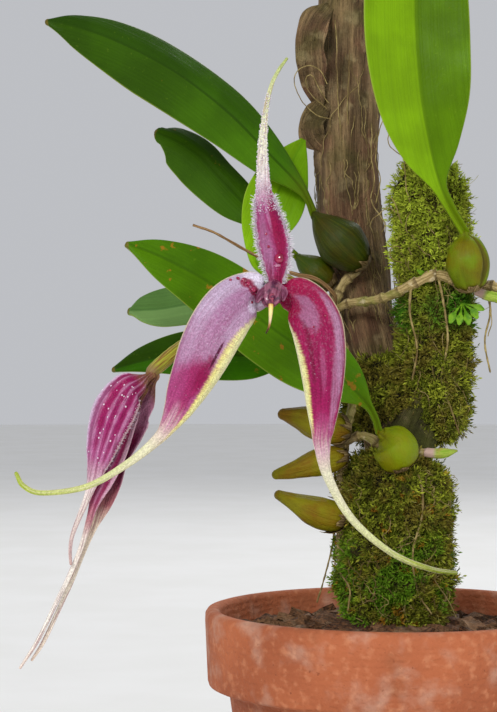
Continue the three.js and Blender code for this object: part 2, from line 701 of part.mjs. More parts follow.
// Bud: the cupped dorsal sepal over the two lateral ones, whose long tails hang side by side
const BUD_SEPALS = {
  bud_sepal_dorsal: {
    face: [-0.45, -1, 0.1],
    cup: bulging(0.72),
    rows: [
      [-63.5, -34.7, 149, 1.1, 1.1],
      [-65.2, -36.4, 148.1, 2.7, 3.2],
      [-67.9, -38, 146.6, 4, 5],
      [-70, -38.8, 143.9, 4.8, 6],
      [-71.9, -39.3, 140.2, 5, 6.1],
      [-73.5, -39.4, 135.8, 4.4, 5.1],
      [-74.9, -39.3, 130.4, 3.3, 3.7],
      [-76.1, -38.6, 125.8, 2.1, 2.3],
      [-77.3, -38, 121.6, 1.2, 1.2],
      [-78.5, -37.8, 118.2, 0.85, 0.85],
      [-80.2, -37.8, 114, 0.6, 0.6],
      [-81.6, -37.9, 110, 0.48, 0.48],
      [-82, -38.1, 106.6, 0.4, 0.4],
      [-81.8, -38.3, 103.4, 0.32, 0.32],
    ],
  },
  bud_sepal_lateral_left: {
    face: [0, -1, 0],
    cup: bulging(0.25),
    rows: [
      [-65.2, -34.2, 143.2, 0.8, 0.8],
      [-67, -34.6, 140, 1.8, 1.8],
      [-68.5, -34.8, 136.6, 2.2, 2.2],
      [-70.2, -34.9, 131.7, 2.4, 2.4],
      [-71.9, -35, 127.6, 2.5, 2.5],
      [-74, -35.2, 123.2, 2.3, 2.3],
      [-75.3, -35.6, 120.5, 1.85, 1.85],
      [-76.5, -35.8, 117.1, 1.15, 1.15],
      [-77.4, -36, 113.9, 0.85, 0.85],
      [-79.5, -36.4, 106.9, 0.65, 0.65],
      [-82.7, -36.8, 99.3, 0.6, 0.6],
      [-85.1, -37.2, 94.5, 0.56, 0.56],
      [-89.8, -38, 84.8, 0.5, 0.5],
      [-94, -38.8, 78.2, 0.32, 0.32],
    ],
  },
  bud_sepal_lateral_right: {
    face: [0.2, -1, 0],
    cup: (across) => 0.7 * across * across,
    rows: [
      [-62.2, -31.6, 147.9, 1.2, 1.2],
      [-64.6, -29.8, 145.2, 4.4, 2.6],
      [-67.6, -29, 142.7, 6.4, 3.8],
      [-69.9, -29, 139.9, 6.8, 4.6],
      [-71.4, -29.1, 135.7, 6.3, 5],
      [-72.8, -29.5, 131, 5.3, 4.9],
      [-73.5, -30.2, 127, 4.45, 4.45],
      [-73.9, -31, 122.9, 3.8, 3.8],
      [-74.8, -32.1, 118.5, 2.9, 2.9],
      [-75.7, -33, 115.1, 1.9, 1.9],
      [-76.6, -33.6, 112.2, 1, 1],
      [-78.8, -34.4, 106.7, 0.65, 0.65],
      [-81.8, -34.9, 99.1, 0.6, 0.6],
      [-84, -35.3, 94.2, 0.56, 0.56],
      [-88.5, -36, 84.5, 0.5, 0.5],
      [-91.4, -36.6, 79.8, 0.32, 0.32],
    ],
  },
};
for (const [name, { face, cup, rows }] of Object.entries(BUD_SEPALS))
  add(name, blade(rows, { face, cup, thickness: sepalThickness }), sepalPurple);
const BUD_STALK = [
  [-62.9, -33.1, 149.4, 1.1],
  [-62, -32.5, 150.4, 1.6],
  [-60.2, -30.9, 152, 1.8],
  [-57.3, -28, 154.6, 1.75],
  [-54, -22.6, 157.6, 1.35],
  [-49.6, -12.4, 161, 1],
  [-41.6, -8.6, 162.8, 0.9],
  [-31.4, -6, 162.4, 0.9],
  [-21, -2.6, 159.8, 0.9],
  [-15.4, 1.6, 157, 0.85],
  [-12.2, 5.8, 153.6, 0.85],
];
add("bud_stalk", largest(toSolid(stem(BUD_STALK, { sides: 7 })).subtract(rhizomeSeat)), stalkGreen);

// Spent flower stalk, dry and brown
const DRY_STALK = [
  [-53, -4, 188.1, 0.35],
  [-47.2, -3, 186.1, 0.4],
  [-39.4, -1, 181.8, 0.42],
  [-28, 2.6, 176.2, 0.45],
  [-20.6, 5, 174.4, 0.5],
  [-15.8, 8.4, 170.6, 0.5],
  [-15.2, 10.6, 168.2, 0.5],
];
add("spent_stalk", largest(toSolid(stem(DRY_STALK, { sides: 5 })).subtract(rhizomeSeat)), dryBrown);

export default plant;
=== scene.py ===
"""Potted orchid on its mossy branch: one open flower, one bud, seven leaves.

The frame gives the solids in metres; the sizes below are in millimetres, from the same named rows.
"""
import math
import random

import bmesh
import bpy
import numpy as np
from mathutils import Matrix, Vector, noise


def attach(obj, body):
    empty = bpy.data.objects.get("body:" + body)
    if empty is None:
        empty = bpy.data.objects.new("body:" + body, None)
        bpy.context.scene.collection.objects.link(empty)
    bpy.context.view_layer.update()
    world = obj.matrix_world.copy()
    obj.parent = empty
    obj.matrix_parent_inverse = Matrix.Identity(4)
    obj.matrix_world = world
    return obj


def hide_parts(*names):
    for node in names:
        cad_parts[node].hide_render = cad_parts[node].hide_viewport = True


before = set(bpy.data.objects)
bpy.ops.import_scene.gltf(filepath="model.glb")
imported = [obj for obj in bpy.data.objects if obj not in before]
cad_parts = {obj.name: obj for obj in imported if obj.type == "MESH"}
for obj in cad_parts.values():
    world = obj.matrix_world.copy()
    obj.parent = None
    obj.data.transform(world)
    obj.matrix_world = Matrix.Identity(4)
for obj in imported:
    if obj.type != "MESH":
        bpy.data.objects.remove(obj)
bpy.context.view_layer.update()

# Clay pot
# A thrown flower pot with a deep rolled collar, fired red earthenware, left unglazed.
# Four drain holes are cut through its floor; lime and old water marks have dried on its wall.
POT_PROFILE = [
    (0, 0), (31.5, 0), (33.2, 0.3), (34, 1.2), (34.3, 2.6), (43.6, 66.2), (44.2, 67.4), (45.2, 68),
    (48, 68), (48.9, 68.4), (49.2, 69.4), (49.9, 85), (49.8, 86.8), (49.2, 87.7), (48.2, 88), (47.2, 88),
    (46.3, 87.6), (45.9, 86.8), (41.2, 66.6), (31.6, 7.4), (30.4, 6.2), (28.8, 6), (0, 6),
]
DRAIN_RADIUS = 4
DRAIN_CIRCLE = 20
DRAIN_DEPTH = 12
FLOOR_MIDDLE = 3
POT_SIDES = 120
MOST_PARTS = 16
PART_LENGTH = 2.4
MM = 0.001


def colour(code):
    """A colour written as on a paint chart, as the light it sends back."""
    parts = [int(code[k:k + 2], 16) / 255 for k in (1, 3, 5)]
    parts = [p / 12.92 if p < 0.04045 else ((p + 0.055) / 1.055) ** 2.4 for p in parts]
    return (*parts, 1)


def node(tree, kind, sockets=None, out=0, **settings):
    """Adds a node with its settings, fills or links its inputs, and hands back one output."""
    made = tree.nodes.new(kind)
    for name, value in settings.items():
        setattr(made, name, value)
    for name, value in (sockets or {}).items():
        if isinstance(value, bpy.types.NodeSocket):
            tree.links.new(value, made.inputs[name])
        else:
            made.inputs[name].default_value = value
    return made if out is None else made.outputs[out]


def sums(tree, operation, first, second=0.0):
    return node(tree, "ShaderNodeMath", {0: first, 1: second}, operation=operation)


def times(tree, first, second):
    return sums(tree, "MULTIPLY", first, second)


def rise(tree, value, low, high, start=0.0, end=1.0):
    """Goes smoothly from start to end as the value goes from low to high."""
    inputs = {"Value": value, "From Min": low, "From Max": high, "To Min": start, "To Max": end}
    return node(tree, "ShaderNodeMapRange", inputs, interpolation_type="SMOOTHSTEP")


def mixed(tree, share, under, top, strength=None):
    """One colour, with a share of another laid over it, as strongly as it says."""
    under, top = (colour(tint) if isinstance(tint, str) else tint for tint in (under, top))
    if strength is not None:
        share = times(tree, share, strength)
    return node(tree, "ShaderNodeMix", {0: share, 6: under, 7: top}, out=2, data_type="RGBA")


def shaded(tree, paint, share):
    """A colour made darker or lighter by a share."""
    grey = node(tree, "ShaderNodeCombineColor", {0: share, 1: share, 2: share})
    inputs = {0: 1.0, 6: paint, 7: grey}
    return node(tree, "ShaderNodeMix", inputs, out=2, data_type="RGBA", blend_type="MULTIPLY")


def graded(tree, value, stops):
    """Colours that follow each other along a value, each at its own stop."""
    ramp = tree.nodes.new("ShaderNodeValToRGB")
    tree.links.new(value, ramp.inputs[0])
    points = ramp.color_ramp.elements
    while len(points) < len(stops):
        points.new(1)
    for point, (place, code) in zip(points, stops):
        point.position = place
        point.color = colour(code)
    return ramp.outputs[0]


def mark(tree, name, part="Fac"):
    """A value that the piece's own points carry."""
    return node(tree, "ShaderNodeAttribute", out=part, attribute_name=name)


def effect(name, inputs):
    """Starts a group of nodes that several finishes share; its last value goes out as Mask."""
    tree = bpy.data.node_groups.new(name, "ShaderNodeTree")
    for title, value in inputs.items():
        tree.interface.new_socket(title, in_out="INPUT", socket_type="NodeSocketFloat").default_value = value
    tree.interface.new_socket("Mask", in_out="OUTPUT", socket_type="NodeSocketFloat")
    return tree, tree.nodes.new("NodeGroupInput").outputs


def place_on_object(tree):
    return node(tree, "ShaderNodeTexCoord", out="Object")


def height_above_floor(tree):
    """How high a point lies, in metres."""
    return node(tree, "ShaderNodeSeparateXYZ", {0: place_on_object(tree)}, out=2)


BLOTCH_SIZES = {"Size": 10, "Least": 0.4, "Most": 0.6, "Seed": 0, "Detail": 3}
STREAK_SIZES = {"Across": 0.5, "Along": 10, "Least": 0.4, "Most": 0.6, "Seed": 0}


def blotch_effect():
    """Soft uneven patches, by the place on the object."""
    tree, given = effect("blotches", BLOTCH_SIZES)
    place = place_on_object(tree)
    scale = sums(tree, "DIVIDE", 1000, given["Size"])
    inputs = {"Vector": place, "Scale": scale, "W": given["Seed"], "Detail": given["Detail"]}
    cloud = node(tree, "ShaderNodeTexNoise", inputs, noise_dimensions="4D")
    node(tree, "NodeGroupOutput", {"Mask": rise(tree, cloud, given["Least"], given["Most"])}, out=None)
    return tree


def streak_effect():
    """Streaks that run along a piece's own skin, long one way and narrow the other."""
    tree, given = effect("streaks", STREAK_SIZES)
    skin = mark(tree, "skin", "Vector")
    narrow = sums(tree, "DIVIDE", 1, given["Across"])
    size = {"X": narrow, "Y": narrow, "Z": sums(tree, "DIVIDE", 1, given["Along"])}
    scale = node(tree, "ShaderNodeCombineXYZ", size)
    place = node(tree, "ShaderNodeVectorMath", {0: skin, 1: scale}, operation="MULTIPLY")
    inputs = {"Vector": place, "Scale": 1.0, "W": given["Seed"], "Detail": 2.5}
    cloud = node(tree, "ShaderNodeTexNoise", inputs, noise_dimensions="4D")
    node(tree, "NodeGroupOutput", {"Mask": rise(tree, cloud, given["Least"], given["Most"])}, out=None)
    return tree


BLOTCHES = blotch_effect()
STREAKS = streak_effect()


def blotches(tree, *sizes):
    """Blotches with the first of their sizes given, in their own order."""
    return node(tree, "ShaderNodeGroup", dict(zip(BLOTCH_SIZES, sizes)), node_tree=BLOTCHES)


def streaks(tree, *sizes):
    """Streaks with the first of their sizes given, in their own order."""
    return node(tree, "ShaderNodeGroup", dict(zip(STREAK_SIZES, sizes)), node_tree=STREAKS)


def raised(tree, height, depth, under=None):
    """The bumps of a height mask, as deep as `depth` mm, over any bumps under them."""
    inputs = {"Height": height, "Distance": depth * MM, "Strength": 1.0}
    if under is not None:
        inputs["Normal"] = under
    return node(tree, "ShaderNodeBump", inputs)


def new_finish(name):
    made = bpy.data.materials.new(name)
    made.use_nodes = True
    made.node_tree.nodes.clear()
    return made, made.node_tree


def surface(tree, paint, roughness, bumps=None, gloss=0.3, coat=(0, 0.03)):
    """Joins a finish to its shader; its gloss and the weight and roughness of its clear coat stay fixed."""
    shader = tree.nodes.new("ShaderNodeBsdfPrincipled")
    for name, value in {"Base Color": paint, "Roughness": roughness, "Normal": bumps}.items():
        if isinstance(value, bpy.types.NodeSocket):
            tree.links.new(value, shader.inputs[name])
        elif value is not None:
            shader.inputs[name].default_value = value
    shader.inputs["Specular IOR Level"].default_value = gloss
    shader.inputs["Coat Weight"].default_value = coat[0]
    shader.inputs["Coat Roughness"].default_value = coat[1]
    end = tree.nodes.new("ShaderNodeOutputMaterial")
    tree.links.new(shader.outputs[0], end.inputs[0])


def mesh_of(name, points, faces, marks=None):
    """A smooth mesh in metres from points in millimetres, with the values that its points carry."""
    mesh = bpy.data.meshes.new(name)
    mesh.from_pydata((np.asarray(points, float) * MM).tolist(), [], faces)
    mesh.shade_smooth()
    for title, values in (marks or {}).items():
        values = np.asarray(values, np.float32)
        kind, field = ("FLOAT", "value") if values.ndim == 1 else ("FLOAT_VECTOR", "vector")
        mesh.attributes.new(title, kind, "POINT").data.foreach_set(field, values.ravel())
    return mesh


def show(mesh, name, finish, stands_for=()):
    """Puts a finished mesh in the scene, on the plant's one body."""
    piece = bpy.data.objects.new(name, mesh)
    if not mesh.materials:
        mesh.materials.append(finish)
    bpy.context.collection.objects.link(piece)
    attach(piece, "root")
    if stands_for:
        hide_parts(*stands_for)
    return piece


def skinned(rings):
    """Points and faces of a closed skin over equal rings, with its faces turned out."""
    count, around = rings.shape[:2]
    points = rings.reshape(-1, 3)
    faces = []
    for i in range(count - 1):
        for k in range(around):
            a = i * around + k
            b = i * around + (k + 1) % around
            faces.append((a, b, b + around, a + around))
    points = np.vstack([points, rings[0].mean(0), rings[-1].mean(0)])
    start, end = len(points) - 2, len(points) - 1
    last = (count - 1) * around
    for k in range(around):
        after = (k + 1) % around
        faces.append((start, after, k))
        faces.append((end, last + k, last + after))
    corners = [face[:3] for face in faces] + [(f[0], f[2], f[3]) for f in faces if len(f) == 4]
    a, b, c = points[np.array(corners).T]
    if np.einsum("ij,ij->i", a, np.cross(b, c)).sum() < 0:
        faces = [f[::-1] for f in faces]
    return points, faces


def turned(profile, sides):
    """Rings of a profile turned on a wheel."""
    profile = np.array(profile, float)
    turn = 2 * math.pi * np.arange(sides) / sides
    flat = np.stack([np.cos(turn), np.sin(turn)], -1)
    rings = np.zeros((len(profile), sides, 3))
    rings[..., :2] = profile[:, None, :1] * flat[None]
    rings[..., 2] = profile[:, 1, None]
    return rings


def drilled(mesh, places, radius, depth):
    """The mesh with round holes cut down through it."""
    body = bpy.data.objects.new("blank", mesh)
    bits = bmesh.new()
    for x, y in places:
        made = bmesh.ops.create_cone(
            bits, cap_ends=True, segments=32, radius1=radius * MM, radius2=radius * MM, depth=depth * MM
        )
        bmesh.ops.translate(bits, verts=made["verts"], vec=(x * MM, y * MM, FLOOR_MIDDLE * MM))
    bit_mesh = bpy.data.meshes.new("bits")
    bits.to_mesh(bit_mesh)
    bits.free()
    drill = bpy.data.objects.new("bits", bit_mesh)
    for thing in (body, drill):
        bpy.context.collection.objects.link(thing)
    cut = body.modifiers.new("drill", "BOOLEAN")
    cut.operation = "DIFFERENCE"
    cut.solver = "EXACT"
    cut.object = drill
    bpy.context.view_layer.update()
    made = bpy.data.meshes.new_from_object(body.evaluated_get(bpy.context.evaluated_depsgraph_get()))
    for thing in (body, drill):
        bpy.data.objects.remove(thing)
    return made


def divided(profile):
    """A profile with points added along its long stretches."""
    out = []
    for (r0, z0), (r1, z1) in zip(profile, profile[1:]):
        count = max(1, min(MOST_PARTS, int(math.hypot(r1 - r0, z1 - z0) / PART_LENGTH)))
        for k in range(count):
            share = k / count
            out.append((r0 + (r1 - r0) * share, z0 + (z1 - z0) * share))
    return out + [profile[-1]]


clay, tree = new_finish("fired_clay")
height = height_above_floor(tree)
warm = mixed(tree, blotches(tree, 30, 0.35, 0.68, 1), "#b4653f", "#9a5232")
sandy = mixed(tree, blotches(tree, 2.2, 0.5, 0.72, 2), warm, "#cf8a63", 0.45)
bloom_low = times(tree, rise(tree, height, 0.046, 0.004), blotches(tree, 13, 0.42, 0.66, 3, 5))
bloom_high = times(tree, rise(tree, height, 0.058, 0.072), blotches(tree, 9, 0.5, 0.72, 4, 5))
bloom = sums(tree, "MAXIMUM", times(tree, bloom_low, 0.55), times(tree, bloom_high, 0.3))
limed = mixed(tree, bloom, sandy, "#d9c4b0")
stained = mixed(tree, blotches(tree, 17, 0.58, 0.74, 5, 5), limed, "#6d4a30", 0.35)
pitted = mixed(tree, blotches(tree, 0.9, 0.66, 0.74, 6), stained, "#70381f", 0.6)
wave = {"Vector": place_on_object(tree), "Scale": 190, "Distortion": 2.5}
throwing_lines = raised(tree, node(tree, "ShaderNodeTexWave", wave, bands_direction="Z"), 0.07)
pits = raised(tree, blotches(tree, 1.1, 0.35, 0.7, 6), 0.16, throwing_lines)
surface(tree, pitted, rise(tree, bloom, 0, 0.5, 0.78, 0.95), pits)

pot_points, pot_faces = skinned(turned(divided(POT_PROFILE), POT_SIDES))
hole_turns = [math.pi * (k + 0.5) / 2 for k in range(4)]
hole_spots = [(DRAIN_CIRCLE * math.cos(turn), DRAIN_CIRCLE * math.sin(turn)) for turn in hole_turns]
pot_mesh = drilled(mesh_of("clay_pot", pot_points, pot_faces), hole_spots, DRAIN_RADIUS, DRAIN_DEPTH)
pot_mesh.shade_smooth()
show(pot_mesh, "clay_pot", clay, ["pot"])

# Branch
# One forked limb of a dead tree, set in the pot. Its bark is furrowed and flaking, in long fibres,
# and both ends are broken off rough, with bare wood showing in the break.
TRUNK = [
    (0, 0, 14, 8.5), (0.4, 0, 60, 8.8), (0, 0, 84, 8.8), (0.2, 1, 106, 8.6), (1.2, 2.6, 120, 8.2),
    (3.2, 3.9, 130, 7.2), (7.4, 6, 140, 6.2), (10.2, 7.6, 152, 5.6), (10.8, 8.2, 170, 5.5),
    (10, 8.4, 190, 5.3), (9.2, 8, 208, 4.6), (9.4, 8.2, 216, 3.4),
]
BACK_PRONG = [
    (1.4, 3, 116, 6.8), (0, 8, 133, 7.6), (-3.6, 16, 150, 8), (-8, 25, 172, 8.4), (-10.8, 31, 196, 8.8),
    (-11, 34, 226, 8.8), (-10, 36, 254, 8.3), (-10.4, 37, 271, 7.2),
]


def unevenness(places, size, seed=0):
    """Smooth random heights from -1 to 1 at each place, with bumps about `size` across."""
    shift = Vector((17.3 * seed, 5.1 * seed, 9.7 * seed))
    flat = np.asarray(places, float).reshape(-1, 3)
    found = [noise.noise(Vector(p) / size + shift) for p in flat]
    return np.array(found).reshape(np.asarray(places).shape[:-1])


def unit(vectors):
    return vectors / np.linalg.norm(vectors, axis=-1, keepdims=True)


def through(rows, steps):
    """Points of a smooth curve through the rows, and its slope at each."""
    rows = np.array(rows, float)
    spots = np.linspace(0, len(rows) - 1, steps + 1)
    first = np.minimum(spots.astype(int), len(rows) - 2)
    part = (spots - first)[:, None]
    longer = np.vstack([2 * rows[0] - rows[1], rows, 2 * rows[-1] - rows[-2]])
    before, start, end, after = (longer[first + k] for k in range(4))
    leave = (end - before) / 2
    arrive = (after - start) / 2
    square = 3 * (end - start) - 2 * leave - arrive
    cube = 2 * (start - end) + leave + arrive
    points = start + leave * part + square * part ** 2 + cube * part ** 3
    return points, leave + 2 * square * part + 3 * cube * part ** 2


def stem(rows, sides, steps, relief=None, round_end=True):
    """Rings of a round stem through rows of x, y, z, radius, and the values its points carry."""
    points, slopes = through(rows, steps)
    spine, radius = points[:, :3], np.maximum(points[:, 3], 0.05)
    along = unit(slopes[:, :3])
    normal = np.array([0.31, -0.9, 0.29])
    normals = []
    for direction in along:
        normal = unit(normal - direction * normal.dot(direction))
        normals.append(normal)
    normals = np.array(normals)
    if round_end:
        dome = np.radians([25, 50, 72, 86])
        spine = np.vstack([spine, spine[-1] + along[-1] * (radius[-1] * np.sin(dome))[:, None]])
        radius = np.append(radius, radius[-1] * np.cos(dome))
        along = np.vstack([along, np.repeat(along[-1:], 4, 0)])
        normals = np.vstack([normals, np.repeat(normals[-1:], 4, 0)])
    across = np.cross(along, normals)
    turn = 2 * math.pi * np.arange(sides) / sides
    travelled = np.append(0, np.cumsum(np.linalg.norm(np.diff(spine, axis=0), axis=1)))
    out = np.cos(turn)[None, :, None] * normals[:, None] + np.sin(turn)[None, :, None] * across[:, None]
    skin = np.stack(
        np.broadcast_arrays(np.cos(turn) * radius.max(), np.sin(turn) * radius.max(), travelled[:, None]), -1
    )
    lift = relief(skin, travelled[:, None] / travelled[-1], turn[None]) if relief else 0
    rings = spine[:, None] + out * (radius[:, None] + lift)[..., None]
    return rings, {"skin": skin, "lift": lift + np.zeros(skin.shape[:2])}


def carried(marks):
    """The values of the rings' points, with those of the two end points added."""
    joined = {}
    for title, values in marks.items():
        flat = values.reshape(-1, 3) if values.ndim == 3 else values.reshape(-1)
        joined[title] = np.concatenate([flat, values[0].mean(0)[None], values[-1].mean(0)[None]])
    return joined


def piece(name, made, finish, slot, stands_for=()):
    """One piece from rings and their values."""
    rings, marks = made
    points, faces = skinned(rings)
    return show(mesh_of(name, points, faces, carried(marks)), name, finish, stands_for)


def furrows(seed, deep):
    """Bark relief: long plates with furrows between them, and finer fibres over them."""
    def relief(skin, share, turn):
        plates = unevenness(skin * (1 / 3.1, 1 / 3.1, 1 / 15), 1, seed)
        fibres = unevenness(skin * (1 / 1.1, 1 / 1.1, 1 / 9), 1, seed + 3)
        knots = unevenness(skin, 14, seed + 5)
        wave = 0.05 * np.sin(3 * turn + 9 * share) + 0.035 * np.sin(5 * turn - 23 * share)
        torn = 2.4 * np.clip(share - 0.975, 0, 1) / 0.025 * unevenness(skin, 2.2, seed + 8)
        return 0.9 * knots + deep * (0.35 - np.abs(plates)) + 0.4 * deep * fibres + 6 * wave + torn
    return relief


def bark_finish(name, dark, light, flush, mossy):
    """Furrowed bark in two tones with lichen crusts, greened where it is mossy, with painted shade in its
    furrows.
    """
    made, tree = new_finish(name)
    plates = streaks(tree, 1.9, 16, 0.34, 0.68, 1)
    fibres = streaks(tree, 0.4, 11, 0.36, 0.66, 2)
    old_bark = mixed(tree, plates, dark, light)
    flushed = mixed(tree, blotches(tree, 9, 0.46, 0.64, 8, 4), old_bark, flush, 0.6)
    fibred = mixed(tree, fibres, flushed, "#33231a", 0.35)
    crusted = mixed(tree, blotches(tree, 5, 0.54, 0.68, 3, 5), fibred, "#a28e66", 0.7)
    green = blotches(tree, 11, 0.5 - 0.2 * mossy, 0.66, 4)
    greened = mixed(tree, green, crusted, "#484a16", 0.4 + 0.5 * mossy)
    # Painted shade: the bark is darker where its relief sinks into the furrows.
    furrow_painted_shade = rise(tree, mark(tree, "lift"), -1.0, 0.3, 0.5, 1.0)
    bumps = raised(tree, fibres, 0.3, raised(tree, blotches(tree, 1.3, 0.3, 0.75, 6, 5), 0.4))
    surface(tree, shaded(tree, greened, furrow_painted_shade), 0.92, bumps)
    return made


mossy_bark = bark_finish("mossy_bark", "#3a3016", "#66603a", "#4d4220", 1)
dry_bark = bark_finish("dry_bark", "#5c472d", "#9c805a", "#7e5640", 0)
piece("branch_trunk", stem(TRUNK, 60, 170, furrows(1, 0.9)), mossy_bark, "branch_wood", ["branch"])
piece("branch_back_prong", stem(BACK_PRONG, 64, 150, furrows(2, 0.5)), dry_bark, "branch_wood", ["branch"])

# Potting bark
# Coarse chips of pine bark heaped round the branch, lying as they fell, up to just under the rim.
# Finer crumbs and dust fill the heap below them.
HEAP_PROFILE = [
    (0, 82.2), (14, 82), (27, 80.6), (38, 79.2), (44.5, 78), (44.2, 76), (40.4, 66), (30, 6.4), (0, 6.4),
]
HEAP_SIDES = 96
HEAP_SHOULDER = 75
CHIP_BED = [(11, 83.6), (20, 83.3), (30, 82.2), (40.5, 80.8)]
CHIP_BED_SIDES = 60


def modelled(title, inputs):
    """Starts a tree of geometry nodes with named inputs."""
    tree = bpy.data.node_groups.new(title, "GeometryNodeTree")
    for name, (kind, value) in inputs.items():
        socket = tree.interface.new_socket(name, in_out="INPUT", socket_type="NodeSocket" + kind)
        if value is not None:
            socket.default_value = value
    tree.interface.new_socket("Piece", in_out="OUTPUT", socket_type="NodeSocketGeometry")
    return tree, tree.nodes.new("NodeGroupInput").outputs


def planting():
    """Plants small things all over a ground, each turned, leaned and sized by chance."""
    tree, given = modelled("planting", {
        "Ground": ("Geometry", None), "Kinds": ("Collection", None), "Density": ("Float", 1e5),
        "Least": ("Float", 0.7), "Most": ("Float", 1.2), "Lean": ("Float", 0.5),
        "Reach": ("Vector", (0, 0, 0)), "Seed": ("Int", 1), "Finish": ("Material", None),
    })
    cover = node(tree, "GeometryNodeInputNamedAttribute", {"Name": "cover"}, data_type="FLOAT")
    thick = times(tree, given["Density"], cover)
    ground = {"Mesh": given["Ground"], "Density": thick, "Seed": given["Seed"]}
    spots = node(tree, "GeometryNodeDistributePointsOnFaces", ground, out=None)
    leant = {0: spots.outputs["Normal"], 1: given["Reach"]}
    facing = node(tree, "ShaderNodeVectorMath", leant, operation="ADD")
    upright = node(tree, "FunctionNodeAlignRotationToVector", {"Vector": facing}, axis="Z")
    most_lean = node(tree, "ShaderNodeCombineXYZ", {0: given["Lean"], 1: given["Lean"], 2: math.pi})
    least_lean = node(tree, "ShaderNodeVectorMath", {0: most_lean, "Scale": -1.0}, operation="SCALE")
    turn = node(
        tree, "FunctionNodeRandomValue", {0: least_lean, 1: most_lean, "Seed": given["Seed"]},
        data_type="FLOAT_VECTOR",
    )
    tilt = node(tree, "FunctionNodeEulerToRotation", {0: turn})
    stance = node(
        tree, "FunctionNodeRotateRotation", {"Rotation": upright, "Rotate By": tilt}, rotation_space="LOCAL"
    )
    size = node(
        tree, "FunctionNodeRandomValue", {2: given["Least"], 3: given["Most"], "Seed": given["Seed"]},
        out=1, data_type="FLOAT",
    )
    kinds = node(
        tree, "GeometryNodeCollectionInfo",
        {"Collection": given["Kinds"], "Separate Children": True, "Reset Children": True},
    )
    planted = node(tree, "GeometryNodeInstanceOnPoints", {
        "Points": spots.outputs["Points"], "Instance": kinds, "Pick Instance": True, "Rotation": stance,
        "Scale": size,
    })
    chance = node(tree, "FunctionNodeRandomValue", {2: 0.0, 3: 1.0, "Seed": 77}, out=1, data_type="FLOAT")
    shaded_each = node(
        tree, "GeometryNodeStoreNamedAttribute", {"Geometry": planted, "Name": "shade", "Value": chance},
        data_type="FLOAT", domain="INSTANCE",
    )
    real = node(tree, "GeometryNodeRealizeInstances", {"Geometry": shaded_each})
    finished = node(tree, "GeometryNodeSetMaterial", {"Geometry": real, "Material": given["Finish"]})
    node(tree, "NodeGroupOutput", {"Piece": finished}, out=None)
    return tree


PLANTING = planting()


def grown(mesh, name, tree, slot, stands_for=(), **choices):
    """Runs a tree of geometry nodes over a mesh and keeps the result as a plain mesh."""
    carrier = bpy.data.objects.new("carrier", mesh)
    bpy.context.collection.objects.link(carrier)
    modifier = carrier.modifiers.new("grow", "NODES")
    modifier.node_group = tree
    for item in tree.interface.items_tree:
        if item.item_type == "SOCKET" and item.in_out == "INPUT" and item.name in choices:
            modifier[item.identifier] = choices[item.name]
    bpy.context.view_layer.update()
    made = bpy.data.meshes.new_from_object(carrier.evaluated_get(bpy.context.evaluated_depsgraph_get()))
    carrier.modifiers.remove(modifier)
    bpy.data.objects.remove(carrier)
    made.name = name
    return show(made, name, choices["Finish"], stands_for)


def kinds_of(name, meshes):
    """A store of small things for planting; it isn't in the scene itself."""
    store = bpy.data.collections.new(name)
    for k, mesh in enumerate(meshes):
        store.objects.link(bpy.data.objects.new(f"{name}_{k}", mesh))
    return store


def chip(seed, length, width, depth):
    """One flat broken chip, its faces stepped where the layers of bark came apart."""
    made = bmesh.new()
    bmesh.ops.create_cube(made, size=1)
    bmesh.ops.subdivide_edges(made, edges=made.edges, cuts=2, use_grid_fill=True)
    for corner in made.verts:
        x, y, z = corner.co
        worn = 0.5 + 0.5 * noise.noise(Vector((x * 3, y * 3, seed)))
        pinch = 1 - 0.35 * max(abs(x), abs(y)) ** 2 * 4 * worn
        step = 0.55 * noise.noise(Vector((x * 2.3 + seed, y * 2.3, 4 * (z > 0))))
        ragged = 1 + 0.35 * noise.noise(Vector((2.1 * x, 2.1 * y, seed * 3.1)))
        corner.co = (x * length * ragged, y * width * ragged, (z * pinch + 0.35 * step) * depth)
    mesh = bpy.data.meshes.new("chip")
    made.to_mesh(mesh)
    made.free()
    own = np.array([v.co[:] for v in mesh.vertices], np.float32)
    mesh.attributes.new("skin", "FLOAT_VECTOR", "POINT").data.foreach_set("vector", own.ravel())
    mesh.transform(((MM, 0, 0, 0), (0, MM, 0, 0), (0, 0, MM, 0), (0, 0, 0, 1)))
    mesh.shade_smooth()
    mesh.set_sharp_from_angle(angle=0.6)
    return mesh


pine_bark, tree = new_finish("pine_bark")
layers = streaks(tree, 1.1, 0.35, 0.35, 0.65, 1)
corky = mixed(tree, layers, "#3b2416", "#7c5233")
picked = mixed(tree, rise(tree, mark(tree, "shade"), 0.3, 1, 0, 0.65), corky, "#9a7350")
dusty = mixed(tree, blotches(tree, 3.5, 0.5, 0.7, 8, 5), picked, "#b39a7c", 0.4)
damp = mixed(tree, blotches(tree, 14, 0.5, 0.62, 9), dusty, "#22150d", 0.5)
flaky = raised(tree, layers, 0.35)
surface(tree, damp, 0.9, raised(tree, blotches(tree, 0.8, 0.3, 0.7, 5, 5), 0.35, flaky))

heap_rings = turned(divided(HEAP_PROFILE)[::-1], HEAP_SIDES)
heap_top = heap_rings[..., 2] > HEAP_SHOULDER
heap_rings[..., 2] += np.where(heap_top, 0.9 * unevenness(heap_rings, 4, 3), 0)
piece("bark_crumbs", (heap_rings, {"skin": heap_rings}), pine_bark, "potting_bark", ["potting_bark"])


def flat_disc(name, profile, sides, marks=None):
    """An open sheet turned from a profile that runs outwards, its faces up."""
    points = turned(profile, sides).reshape(-1, 3)
    faces = []
    for i in range(len(profile) - 1):
        for k in range(sides):
            inner, after = i * sides, (k + 1) % sides
            faces.append((inner + k, inner + sides + k, inner + sides + after, inner + after))
    return mesh_of(name, points, faces, marks)


